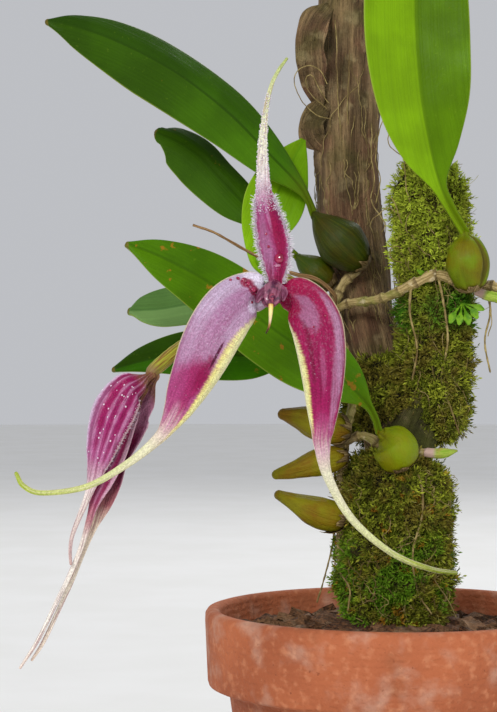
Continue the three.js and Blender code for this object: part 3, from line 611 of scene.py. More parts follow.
covered = {"cover": np.ones(len(CHIP_BED) * CHIP_BED_SIDES)}
bed = flat_disc("chip_bed", CHIP_BED, CHIP_BED_SIDES, covered)
chips = kinds_of("chips", [
    chip(1, 10, 6.5, 2.6), chip(2, 7.5, 6, 3), chip(3, 12.5, 5.2, 2.4), chip(4, 6, 4.4, 2),
])
grown(
    bed, "bark_chips", PLANTING, "potting_bark", ["potting_bark"], Kinds=chips, Density=46000.0, Least=0.6,
    Most=1.05, Lean=0.38, Seed=5, Finish=pine_bark,
)

# Moss
# Cushions of living moss that sleeve the branch: leafy stems packed side by side, bright where they
# grow, brown where they have died back, held by their own rootlets and by the orchid's roots.
MOSS = {
    "moss_lower": [
        (0.4, 0, 84, 12), (0, -0.4, 90, 13.6), (-0.4, -0.4, 100, 14), (0, -0.2, 112, 13.8),
        (0.4, 0, 121, 12.9), (1.4, 1.4, 126.4, 10.6),
    ],
    "moss_upper": [
        (10.4, 6.4, 131.4, 4.8), (10.6, 6.8, 136, 7.8), (10.4, 7.6, 146, 9), (11, 8.2, 160, 8.7),
        (11, 8.2, 176, 9.3), (10, 8.4, 190, 9), (9.4, 8, 202, 7.6), (9.2, 8, 207, 5.8),
    ],
    "moss_fork": [
        (-0.4, 8, 134, 8.6), (-2, 11, 139, 10), (-3.4, 14, 145, 9.6), (-4.4, 16.6, 151, 8.9),
    ],
}
MOSS_SPRIGS = {"moss_lower": 1.0, "moss_upper": 0.95, "moss_fork": 0.8}


def cushion(skin, share, turn):
    """Broad lumps with finer ones over them, drawn in at both ends of the sleeve."""
    lumps = 0.045 * np.sin(4 * turn + 11 * share) + 0.035 * np.sin(7 * turn - 19 * share)
    lumps = lumps + 0.03 * np.sin(31 * share)
    broad = 16 * lumps - 3 * (np.exp(-share / 0.03) + np.exp((share - 1) / 0.03))
    return broad + 0.8 * unevenness(skin, 4.5, 2) + 0.45 * unevenness(skin, 1.7, 4) - 0.5


def sprig(seed, leaflets, tall, size):
    """A leafy moss stem: narrow folded leaflets set in a spiral, wider apart towards its foot."""
    chance = random.Random(seed)
    points, faces, tips = [], [], []
    bend = chance.uniform(0, 0.5)
    for k in range(leaflets):
        share = (k + 0.6) / leaflets
        turn = 2.4 * k + chance.uniform(-0.3, 0.3)
        rising = 0.35 + 0.95 * share
        reach = size * (1.35 - 0.5 * share) * chance.uniform(0.8, 1.25)
        out = np.array([math.cos(turn), math.sin(turn), 0])
        side = np.array([-math.sin(turn), math.cos(turn), 0])
        up = np.array([0, 0, 1])
        foot = np.array([bend * tall * share ** 2, 0, tall * share - 0.4])
        tip = foot + reach * (math.cos(rising) * out + math.sin(rising) * up)
        middle = foot * 0.55 + tip * 0.45 - 0.08 * size * up
        half = 0.15 * size * side
        start = len(points)
        points += [foot, middle + half + 0.09 * size * up, tip, middle - half + 0.09 * size * up]
        faces += [(start, start + 1, start + 2), (start, start + 2, start + 3)]
        tips += [0.35 * share, 0.4 + 0.3 * share, 0.75 + 0.25 * share, 0.4 + 0.3 * share]
    return mesh_of("sprig", points, faces, {"tip": tips})


def strand(seed, length, thick):
    """One loose thread, bent by chance."""
    chance = random.Random(seed)
    spot, way = np.array([0, 0, -0.4]), np.array([0.3, 0, 1])
    rows = []
    for _ in range(5):
        rows.append((*spot, thick))
        way = unit(way + np.array([chance.uniform(-0.7, 0.7) for _ in range(3)]))
        spot = spot + way * length / 4
    return mesh_of("strand", *skinned(stem(rows, 3, 6, round_end=False)[0]))


moss_body, tree = new_finish("moss_body")
peaty = mixed(tree, blotches(tree, 4, 0.4, 0.62, 1, 4), "#2a260c", "#55501a")
surface(tree, peaty, 1.0, raised(tree, blotches(tree, 0.9, 0.3, 0.7, 2, 5), 0.9))

moss_leaf, tree = new_finish("moss_leaves")
height = height_above_floor(tree)
growing = mixed(tree, rise(tree, mark(tree, "shade"), 0.1, 0.95), "#545c12", "#9ca430")
# Painted light: the moss is brighter and yellower in patches higher up the branch.
sunlit = times(tree, rise(tree, height, 0.156, 0.178), blotches(tree, 8, 0.3, 0.55, 2, 4))
lit_top_moss = mixed(tree, sunlit, growing, "#b2c23c", 0.9)
band = times(tree, rise(tree, height, 0.159, 0.163), rise(tree, height, 0.174, 0.169))
needle = mixed(tree, times(tree, band, blotches(tree, 12, 0.3, 0.5, 6, 2)), lit_top_moss, "#447e18", 0.9)
dying = times(tree, blotches(tree, 6, 0.44, 0.6, 5, 4), rise(tree, height, 0.186, 0.15, 0.25, 1))
browned = mixed(tree, dying, needle, "#7a682a", 0.7)
low_green = times(tree, blotches(tree, 13, 0.46, 0.54, 12, 3), rise(tree, height, 0.113, 0.101))
lush = mixed(tree, low_green, browned, "#5c8c18", 0.8)
rusty = times(tree, blotches(tree, 3.2, 0.61, 0.67, 9, 3), rise(tree, height, 0.135, 0.115))
rusted = mixed(tree, rusty, lush, "#a46c1c", 0.8)
dead = mixed(tree, blotches(tree, 11, 0.58, 0.66, 7, 3), rusted, "#544a1a", 0.6)
# Painted shade and light: each leaflet is darker at its foot, deep in the cushion, and lighter at its tip.
tip_light = rise(tree, mark(tree, "tip"), 0.0, 1.0, 0.35, 1.35)
surface(tree, shaded(tree, dead, tip_light), 0.8, gloss=0.15)

thread_skin, tree = new_finish("moss_threads")
bleached = mixed(tree, rise(tree, mark(tree, "shade"), 0.2, 0.9), "#6e6a28", "#b5ae62")
tanned = mixed(tree, blotches(tree, 9, 0.45, 0.6, 4), bleached, "#8c6f3c", 0.8)
surface(tree, tanned, 0.8, gloss=0.15)

sprigs = kinds_of("sprigs", [
    sprig(1, 9, 2.3, 1.15), sprig(2, 8, 1.7, 1.3), sprig(3, 10, 2.9, 1.0), sprig(4, 7, 1.3, 1.5),
])
threads = kinds_of("threads", [
    strand(1, 3.4, 0.07), strand(2, 4.6, 0.06), strand(5, 2.8, 0.08), strand(9, 5.4, 0.06),
])
for name, rows in MOSS.items():
    rings, marks = stem(rows, 84, 64, cushion, round_end=False)
    piece(name + "_body", (rings, marks), moss_body, "moss", [name])
    points, faces = skinned(rings)
    thin = 1 - 0.65 * np.clip(unevenness(points, 8, 6) * 3 - 0.55, 0, 1)
    bare = mesh_of("moss_ground", points, faces, {"cover": thin})
    grown(
        bare, name + "_sprigs", PLANTING, "moss", Kinds=sprigs, Density=1.9e6 * MOSS_SPRIGS[name], Least=0.5,
        Most=1.4, Lean=0.9, Reach=(0.0, -0.1, 0.2), Seed=11, Finish=moss_leaf,
    )
    grown(
        bare, name + "_threads", PLANTING, "moss", Kinds=threads, Density=2.4e5, Least=0.5, Most=1.2,
        Lean=1.3, Reach=(0.0, 0.0, 0.1), Seed=3, Finish=thread_skin,
    )

# Rhizome and roots
# The orchid's creeping stem: hard tan internodes, ringed where the old papery scales were joined.
# Thin wiry roots run from it over the moss and down into the potting bark.
RHIZOME = {
    "rhizome_main": [
        (-13, -0.8, 86.5, 1), (-13.9, -0.8, 98, 1.15), (-14.2, -0.9, 112, 1.25), (-13.8, -0.9, 124, 1.15),
        (-13.3, -1, 131, 1.25), (-11.9, 1.4, 138, 1.1), (-10.3, 4.4, 145, 1.15), (-12, 7, 153, 1.1),
        (-14.4, 9.4, 160, 1.2), (-15.4, 11.6, 167, 1.25), (-13, 13.4, 173.4, 1.1), (-9.4, 13.6, 176.8, 1.1),
    ],
    "rhizome_upper": [
        (-15.2, 11.2, 166.4, 0.9), (-11.5, 8, 168.1, 1.1), (-5, 4, 168.8, 1.1), (0, 0.6, 170.4, 1.2),
        (5, -1.8, 173, 1.25), (10.5, -2.2, 175.2, 1.35), (15, -1.1, 174, 1.35), (19.5, -0.6, 173.2, 1.35),
        (24, -1.6, 172.4, 1.3), (29, -2.4, 171.4, 1.25), (33, -2.6, 170.8, 0.8),
    ],
    "rhizome_lower": [
        (-13, -1.4, 131.4, 0.9), (-9.6, -5, 133.2, 1.1), (-6.4, -6.4, 132.4, 1.1), (-3, -6, 129.4, 1.1),
        (1, -5.8, 127.4, 1.1), (4.6, -7, 128.2, 1.1), (6.4, -7.8, 129, 1),
    ],
}
ROOTS = [
    [
        (11, -2.4, 175), (12.4, -2.6, 168), (13.6, -1.9, 158), (12, -2, 148), (14.6, -1.2, 140),
        (16.6, -1.4, 134),
    ],
    [(4, -2, 172.6), (3.6, -3.4, 165), (5.6, -1.8, 156), (4.4, -1.2, 148)],
    [
        (0.6, -5.8, 127.4), (5, -12.4, 123.4), (6, -13.8, 114), (3.4, -14.9, 104), (4.6, -14.7, 94),
        (8, -16, 88.5),
    ],
    [(-13.9, -0.8, 103), (-14.6, -4.6, 98), (-12.4, -9.4, 94), (-13, -12.8, 89)],
    [(-15.2, 11.6, 166), (-18, 13.6, 156), (-16.2, 14.6, 146), (-18.4, 12.6, 136), (-17, 9, 128)],
    [(24, -1.4, 172), (25, 0.4, 165.4), (23.4, -1, 158), (24.6, -2.4, 150)],
    [(-12, 1.2, 138), (-15.6, 4, 130), (-15.4, 5, 118), (-16, 3.6, 106), (-18.4, 2, 96), (-20.4, 0.6, 89.5)],
]
ROOT_RADIUS = 0.42
RING_SPACING = 5.2


def way_along(tree):
    """How far along its own stem a point lies, in millimetres."""
    return node(tree, "ShaderNodeSeparateXYZ", {0: mark(tree, "skin", "Vector")}, out=2)


def ringed(skin, share, turn):
    """Internodes that swell towards each ring, where the frayed edge of a scale stands proud."""
    phase = (skin[..., 2] / RING_SPACING + 0.06 * np.sin(turn * 2)) % 1
    frayed = np.clip((phase - 0.8) / 0.12, 0, 1) * np.clip((1 - phase) / 0.05, 0, 1)
    knobbly = 0.3 * unevenness(skin, 1.9, 4) + 0.12 * unevenness(skin, 0.8, 7)
    return 0.26 * phase ** 2 + 0.24 * frayed * (0.7 + 0.6 * unevenness(skin, 0.8, 1)) + knobbly - 0.04


def wrinkled(skin, share, turn):
    """Fine wrinkles over a root that thins towards its end."""
    return 0.12 * unevenness(skin, 1.5, 3) - 0.12 * share - 0.08


rhizome_skin, tree = new_finish("rhizome_skin")
ring_phase = sums(tree, "FRACT", sums(tree, "DIVIDE", way_along(tree), RING_SPACING))
woody = mixed(tree, streaks(tree, 0.3, 3.5, 0.35, 0.65, 1), "#8f7a48", "#c4ac76")
scaled = mixed(tree, rise(tree, ring_phase, 0.76, 0.94, 0, 0.7), woody, "#54401f")
greened = mixed(tree, blotches(tree, 8, 0.5, 0.65, 2), scaled, "#7c8230", 0.6)
flaking = mixed(tree, blotches(tree, 2.6, 0.58, 0.66, 7, 4), greened, "#d6c49c", 0.7)
surface(tree, flaking, 0.6, raised(tree, blotches(tree, 0.9, 0.3, 0.7, 4, 4), 0.2))

root_skin, tree = new_finish("root_skin")
corked = mixed(tree, blotches(tree, 2.4, 0.4, 0.62, 1, 4), "#7c6a3c", "#a8945e")
aged = mixed(tree, blotches(tree, 9, 0.5, 0.64, 3), corked, "#5d4627", 0.7)
surface(tree, aged, 0.75, raised(tree, blotches(tree, 0.5, 0.3, 0.7, 4), 0.12))

for name, rows in RHIZOME.items():
    length = sum(math.dist(a[:3], b[:3]) for a, b in zip(rows, rows[1:]))
    piece(name, stem(rows, 22, int(length * 2.5), ringed), rhizome_skin, "rhizome", ["rhizome_and_roots"])
for k, points in enumerate(ROOTS):
    rows = [(*point, ROOT_RADIUS) for point in points]
    piece(f"root_{k + 1}", stem(rows, 12, 70, wrinkled), root_skin, "rhizome", ["rhizome_and_roots"])


def rootlet_tree():
    """Turns drawn paths into thin wiry roots that wander a little."""
    tree, given = modelled("rootlets", {
        "Paths": ("Geometry", None), "Thickness": ("Float", 0.0003), "Wander": ("Float", 0.0006),
        "Seed": ("Float", 0), "Finish": ("Material", None),
    })
    lines = node(tree, "GeometryNodeMeshToCurve", {"Mesh": given["Paths"]})
    smooth = node(tree, "GeometryNodeCurveSplineType", {"Curve": lines}, spline_type="BEZIER")
    eased = node(
        tree, "GeometryNodeCurveSetHandles", {"Curve": smooth}, handle_type="AUTO", mode={"LEFT", "RIGHT"}
    )
    even = node(tree, "GeometryNodeResampleCurve", {"Curve": eased, "Length": 0.001}, mode="LENGTH")
    swirl = {"Scale": 260.0, "W": given["Seed"], "Detail": 1.0}
    cloud = node(tree, "ShaderNodeTexNoise", swirl, out=1, noise_dimensions="4D")
    centred = node(tree, "ShaderNodeVectorMath", {0: cloud, 1: (0.5, 0.5, 0.5)}, operation="SUBTRACT")
    shift = node(tree, "ShaderNodeVectorMath", {0: centred, "Scale": given["Wander"]}, operation="SCALE")
    bent = node(tree, "GeometryNodeSetPosition", {"Geometry": even, "Offset": shift})
    ring = node(tree, "GeometryNodeCurvePrimitiveCircle", {"Resolution": 5, "Radius": given["Thickness"]})
    share = node(tree, "GeometryNodeSplineParameter")
    taper = rise(tree, share, 0.55, 1.0, 1.0, 0.45)
    tapered = node(tree, "GeometryNodeSetCurveRadius", {"Curve": bent, "Radius": taper})
    swept = {"Curve": tapered, "Profile Curve": ring, "Fill Caps": True}
    wires = node(tree, "GeometryNodeCurveToMesh", swept)
    smooth_wires = node(tree, "GeometryNodeSetShadeSmooth", {"Geometry": wires})
    finished = node(tree, "GeometryNodeSetMaterial", {"Geometry": smooth_wires, "Material": given["Finish"]})
    node(tree, "NodeGroupOutput", {"Piece": finished}, out=None)
    return tree


ROOTLETS = rootlet_tree()


def paths_mesh(paths):
    """Open paths of points, each to be made into a root."""
    points, edges = [], []
    for path in paths:
        start = len(points)
        points += [tuple(p) for p in path]
        edges += [(k, k + 1) for k in range(start, len(points) - 1)]
    mesh = bpy.data.meshes.new("paths")
    mesh.from_pydata((np.array(points) * MM).tolist(), edges, [])
    return mesh


def creeping(rows, count, seed, proud):
    """Paths that wander down and round over a sleeve, just proud of its surface."""
    chance = random.Random(seed)
    points, slopes = through(rows, 60)
    paths = []
    for _ in range(count):
        at = chance.uniform(4, 52)
        turn = chance.uniform(0, 2 * math.pi)
        swing = chance.uniform(-0.12, 0.12)
        way = chance.choice((-1, -1, 1))
        path = []
        for _ in range(chance.randint(7, 16)):
            if not 1 < at < 59:
                break
            spine, radius = points[int(at), :3], points[int(at), 3]
            lift = radius + proud + chance.uniform(-0.5, 0.5)
            path.append(spine + np.array([math.cos(turn), math.sin(turn), 0]) * lift)
            at += way * chance.uniform(1, 2.6)
            turn += swing + chance.uniform(-0.16, 0.16)
            swing += chance.uniform(-0.06, 0.06)
        if len(path) > 3:
            paths.append(path)
    return paths


# Loose roots seen against the branch and the moss: how far back each lies, and its points from
# left to right and up.
LOOSE_ROOTS = [
    (24, [(-17, 228.7), (-19.1, 232.5), (-22.7, 233.6), (-25.5, 231.1), (-25.2, 226.5),
         (-21.9, 221.8), (-17.8, 219.3), (-16.1, 219.1)]),
    (24.6, [(-16.7, 223.5), (-19.7, 228.2), (-21.9, 231.2), (-22.7, 229.3), (-20.8, 225.4),
         (-16.9, 221.9)]),
    (24.6, [(-14.5, 246.3), (-14.2, 235.3), (-13.9, 224.3), (-13.1, 214.7)]),
    (24.6, [(-10.6, 238.1), (-11.2, 227.1), (-10.9, 216.1)]),
    (4, [(-2.1, 218.5), (-4.2, 212.5), (-4.8, 205.8), (-3.7, 200), (-4.8, 194.5)]),
    (6, [(-5.7, 215.6), (-6, 208.7), (-5.2, 202.1), (-6.2, 195.9)]),
    (2, [(0.6, 214.6), (-1.7, 210.9), (0.4, 207.8), (3.3, 206.2)]),
    (0, [(2.3, 206.5), (2.6, 200.2), (3.9, 194.4)]),
    (3, [(-3.8, 191.5), (-5.6, 193.6), (-6.2, 195.4)]),
    (3, [(-3.8, 191.5), (-1.7, 193.1), (0.7, 191.8)]),
    (3, [(-3.8, 191.5), (-2.5, 188.8), (-3.5, 186.7)]),
    (3, [(-3.8, 191.5), (-5.6, 190.2), (-6.4, 188.3)]),
    (1, [(-1, 195.6), (0.8, 191.9), (2.1, 188.7)]),
    (-1, [(1.7, 178.6), (-0.6, 179.2), (-1.4, 181.8), (-0.1, 182.8), (1.7, 182.3)]),
    (-2, [(24.7, 166.6), (25.2, 162.9), (24.1, 159.2)]),
    (-13, [(8.5, 97.9), (10.8, 94.1), (13.1, 90.5), (14.6, 87.2)]),
    (-14, [(5.3, 96.8), (6.3, 93.7), (5.3, 90.9)]),
    (-6, [(-11.6, 101.1), (-13.2, 97.4), (-12.4, 93.8)]),
    (-9, [(-8.7, 98.3), (-9.5, 94.1), (-7.9, 91.6)]),
]
fine_paths = creeping(MOSS["moss_lower"], 58, 3, 0.7) + creeping(MOSS["moss_upper"][:7], 64, 5, 0.6)
grown(
    paths_mesh(fine_paths), "rootlets_on_moss", ROOTLETS, "rhizome", Thickness=0.00011, Wander=0.0034,
    Seed=2.0, Finish=root_skin,
)
bark_paths = creeping(BACK_PRONG[1:], 60, 8, 0.25)
loose_paths = [[(x, depth, z) for x, z in points] for depth, points in LOOSE_ROOTS]
grown(
    paths_mesh(bark_paths), "rootlets_on_bark", ROOTLETS, "rhizome", Thickness=0.0001, Wander=0.003, Seed=5.0,
    Finish=root_skin,
)
grown(
    paths_mesh(loose_paths), "rootlets_hanging", ROOTLETS, "rhizome", Thickness=0.00014, Wander=0.0012,
    Seed=8.0, Finish=root_skin,
)

# Pseudobulbs
# Seven plump green storage stems, each with one leaf at its top, and three old ones that have lost
# their leaves and turned yellow and brown. Their skin is hard, waxy and ribbed, and the torn papery
# sheath that each grew in still wraps its foot.
BULBS = {
    "bulb_upper_right": [
        (19.4, -6.4, 170.4, 1.3), (19.1, -6.4, 172.2, 3.7), (18.6, -6.4, 176.2, 5.5),
        (18.3, -6.4, 180.2, 5.4), (18, -6.6, 183.6, 3.7), (17.7, -6.8, 185.3, 1.4),
    ],
    "bulb_lower_right": [
        (1, -12.2, 124.6, 1.3), (0.3, -12.6, 126.4, 4.4), (-0.8, -13.2, 129.9, 5.7),
        (-2, -13.5, 132.3, 4.8), (-3.7, -13.9, 133.7, 2.4), (-4.4, -14.1, 134, 1.2),
    ],
    "bulb_middle": [
        (-6.6, 13.6, 178.6, 1.5), (-9.6, 12.4, 180.8, 5), (-13.8, 11.6, 184.5, 6.6),
        (-17.6, 11.8, 188.4, 4.4), (-20.4, 12.6, 191.6, 1.4),
    ],
    "bulb_back": [
        (-15.4, 16.6, 172.8, 1.3), (-17.4, 17, 174.4, 3.4), (-20.2, 17.2, 176.8, 4.2),
        (-23, 17.2, 179, 2.8), (-25, 17, 180.6, 1.2),
    ],
    "bulb_centre": [
        (-18.3, 10.6, 167, 1.3), (-20.4, 10.2, 168, 3.6), (-23.2, 9.8, 169.6, 4.2),
        (-26.2, 9.4, 171.2, 2.8), (-28.3, 9.1, 172.3, 1.2),
    ],
    "bulb_lower_left": [
        (-15.7, 8.6, 158.4, 1.5), (-18, 7.4, 158.8, 3.4), (-20.8, 6.6, 160, 4.2), (-23.2, 6.6, 161.8, 2.8),
        (-24.6, 6.8, 163, 1.2),
    ],
    "bulb_lowest_left": [
        (-12.2, 2.4, 142.6, 1.2), (-14, 1.6, 144.8, 3.4), (-16, 1.4, 147.8, 4.2), (-17.8, 1.8, 150.8, 2.8),
        (-18.8, 2.2, 152.8, 1.2),
    ],
}
OLD_BULBS = {
    "old_bulb_1": [
        (-12.5, -3.9, 134.8, 1.2), (-15, -5.6, 135, 3.9), (-20, -7.2, 136.4, 4.4), (-25.3, -8, 138, 3),
        (-29.4, -8.2, 138.8, 1.6),
    ],
    "old_bulb_2": [
        (-13, -3.8, 127.8, 1.2), (-15.6, -5.6, 127.6, 3.2), (-20.6, -7.2, 126.4, 3.5),
        (-26.4, -8, 124.5, 2.3), (-31.2, -8.2, 123.4, 1.3),
    ],
    "old_bulb_3": [
        (-13.4, -4, 111.6, 1.2), (-16.4, -5.8, 112.2, 3.9), (-21.8, -7.2, 114, 3.9),
        (-26.7, -8, 116.3, 2.4), (-30.6, -8.2, 118, 1.3),
    ],
}
# The tints of bulb_middle are much darker than the rest: painted shade.
BULB_TINTS = {
    "bulb_upper_right": ("#667c04", "#6c6404"), "bulb_lower_right": ("#788a04", "#7c7e06"),
    "bulb_middle": ("#2a3a04", "#333204"), "bulb_back": ("#344804", "#484604"),
    "bulb_centre": ("#465c08", "#585808"), "bulb_lower_left": ("#465c08", "#585808"),
    "bulb_lowest_left": ("#506a0a", "#64620c"),
}
BULB_RIBS = {"bulb_upper_right": 0.2, "bulb_lower_right": 0.15, "bulb_middle": 0.35}
COMMON_RIBS = 0.3
SHEATH_SIDES = 40
SHEATH_FINENESS = 120
SHEATH_STEPS = 9
SHEATH_GAP = 0.35
SHEATH_PAPER = 0.12


def ribbed(deep, fine, seed, furrow=0.0):
    """Rounded ribs that close towards both ends, on some with one deep furrow down the front."""
    def relief(skin, share, turn):
        belly = np.clip(np.sin(math.pi * np.clip(share, 0, 1)), 0, 1) ** 0.7
        grooves = np.abs(np.cos(2.5 * turn + 0.5 * np.sin(3 * share + seed))) ** 0.45
        wrinkles = unevenness(skin * (1 / 0.9, 1 / 0.9, 1 / 4.5), 1, seed)
        cleft = np.exp(-((turn - 0.36 - 0.12 * np.sin(4 * share)) / 0.15) ** 2)
        ribs = deep * (grooves - 0.75) + fine * wrinkles - furrow * cleft
        return belly * ribs + 0.14 * unevenness(skin, 3, seed) + 0.25 * unevenness(skin, 7, seed)
    return relief


def bulb_finish(name, green, amber, age):
    """Waxy green skin with amber clouds, darkened in its grooves by painted shade, browned at its foot; old
    skin is duller.
    """
    made, tree = new_finish(name)
    flushed = mixed(tree, blotches(tree, 6, 0.36, 0.66, 3 + age, 3), green, amber)
    # Painted shade: the skin is darker where its relief sinks into the grooves, less on old bulbs.
    groove = rise(tree, mark(tree, "lift"), 0.02, -0.42, 0, 0.75 - 0.4 * age)
    groove_shaded = mixed(tree, groove, flushed, "#4a3a0c")
    lined = mixed(tree, streaks(tree, 0.4, 7, 0.42, 0.7, 2), groove_shaded, "#8f8a1c", 0.12 + 0.1 * age)
    freckled = mixed(tree, blotches(tree, 0.8, 0.66, 0.72, 5), lined, "#5b4010", 0.35)
    footed = mixed(tree, rise(tree, way_along(tree), 2.6, 0.4, 0, 0.7), freckled, "#6b4f22")
    lines = raised(tree, streaks(tree, 0.35, 5, 0.3, 0.7, 2), 0.06 + 0.08 * age)
    bumps = raised(tree, blotches(tree, 0.5, 0.3, 0.7, 4), 0.05, lines)
    surface(tree, footed, 0.42 + 0.12 * age, bumps, gloss=0.14)
    return made


def sheath(name, rows, low, high, seed):
    """The torn papery tube round a stem's foot, from one share of its length to another."""
    sides = np.arange(SHEATH_SIDES)
    rings, _ = stem(rows, SHEATH_SIDES, SHEATH_FINENESS, round_end=False)
    spine = rings.mean(1)
    turn = 2 * math.pi * sides / SHEATH_SIDES
    torn = 0.55 + 0.3 * np.sin(3 * turn + seed) * np.sin(7 * turn + 2 * seed)
    ragged = np.array([random.Random(seed * 97 + k).uniform(-0.16, 0.16) for k in sides.tolist()])
    torn = np.clip(torn + ragged, 0.15, 1)
    up = list(range(SHEATH_STEPS + 1))
    layers = []
    for k, thick in [(k, SHEATH_PAPER) for k in up] + [(k, 0) for k in up[::-1]]:
        step = k / SHEATH_STEPS
        places = ((low + (high - low) * torn * step) * SHEATH_FINENESS).astype(int)
        at = rings[places, sides]
        flare = SHEATH_GAP * (0.55 + 0.9 * step ** 2 + 0.25 * np.sin(5 * turn + seed))
        layers.append(at + unit(at - spine[places]) * (flare + thick)[:, None])
    tube = np.array(layers)
    faces = []
    for i in range(len(tube)):
        this, above = i * SHEATH_SIDES, (i + 1) % len(tube) * SHEATH_SIDES
        for k in range(SHEATH_SIDES):
            after = (k + 1) % SHEATH_SIDES
            faces.append((this + k, this + after, above + after, above + k))
    skin = np.zeros(tube.shape)
    skin[..., 0] = 3 * np.cos(turn)
    skin[..., 1] = 3 * np.sin(turn)
    skin[..., 2] = np.array(up + up[::-1])[:, None] * 0.4
    mesh = mesh_of(name, tube.reshape(-1, 3), faces, {"skin": skin.reshape(-1, 3)})
    return show(mesh, name, papery)


papery, tree = new_finish("papery_sheath")
fibred = mixed(tree, streaks(tree, 0.3, 4, 0.35, 0.65, 1), "#5e4626", "#a08a5a")
edged = mixed(tree, blotches(tree, 3, 0.45, 0.65, 2), fibred, "#3b2a16", 0.6)
surface(tree, edged, 0.8, raised(tree, streaks(tree, 0.25, 4, 0.3, 0.7, 3), 0.15))

old_bulb_skin = bulb_finish("old_bulb_skin", "#7e780a", "#7c5a0c", 1)
for k, (name, rows) in enumerate(BULBS.items()):
    skin = bulb_finish(name + "_skin", *BULB_TINTS[name], 0)
    furrow = 1.1 if name == "bulb_upper_right" else 0.0
    ribs = ribbed(BULB_RIBS.get(name, COMMON_RIBS), 0.04, k, furrow)
    piece(name + "_ribbed", stem(rows, 72, 44, ribs), skin, "bulb", [name])
    sheath(name + "_sheath", rows, 0.02, 0.26, k + 1)
for k, (name, rows) in enumerate(OLD_BULBS.items()):
    ribs = ribbed(COMMON_RIBS, 0.1, k + 9)
    piece(name + "_ribbed", stem(rows, 60, 54, ribs), old_bulb_skin, "old_bulb", [name])
    sheath(name + "_sheath", rows, 0.03, 0.42, k + 12)

# New shoots
# Two pointed young growths at the ends of the rhizome. Each is soft and green, wrapped in overlapping
# scales that came up with it, and pinkish at the foot where it breaks from the old stem.
SHOOTS = {
    "shoot_lower": [
        (6.9, -8, 129.1, 1), (9, -8.2, 128.9, 1.2), (12, -8.4, 128.9, 1.3), (15.2, -8.4, 129.5, 0.35),
    ],
    "shoot_upper": [
        (20.8, -2.6, 170.9, 0.9), (24.4, -3.6, 169.6, 1.3), (28.6, -3.8, 168.9, 1.2),
        (33, -3.6, 168.7, 0.35),
    ],
}


def scales(skin, share, turn):
    """Scales that overlap in a spiral, with their free edges standing a little proud."""
    phase = (skin[..., 2] / 3.4 + turn / (2 * math.pi)) % 1
    return 0.22 * (1 - phase) * (1 - share) + 0.04 * unevenness(skin, 1, 2)


shoot_skin, tree = new_finish("shoot_skin")
young = mixed(tree, streaks(tree, 0.3, 4, 0.35, 0.65, 1), "#7fa022", "#a9bb4a")
tinged = mixed(tree, blotches(tree, 3, 0.5, 0.65, 2), young, "#a9894a", 0.7)
sleeved = mixed(tree, rise(tree, way_along(tree), 3.4, 2.0, 0, 0.85), tinged, "#c09a98")
surface(tree, sleeved, 0.45, raised(tree, streaks(tree, 0.25, 3, 0.3, 0.7, 3), 0.1))
for name, rows in SHOOTS.items():
    piece(name + "_scaly", stem(rows, 28, 60, scales), shoot_skin, "leaf", [name])

# Leaves
# Seven thick leathery leaves, one from each green bulb. Each is folded along its midrib, narrows to a
# channelled stalk, and ends in a small brown point; fine veins run along it beside the rib.
FRONT = (0, -1, 0)
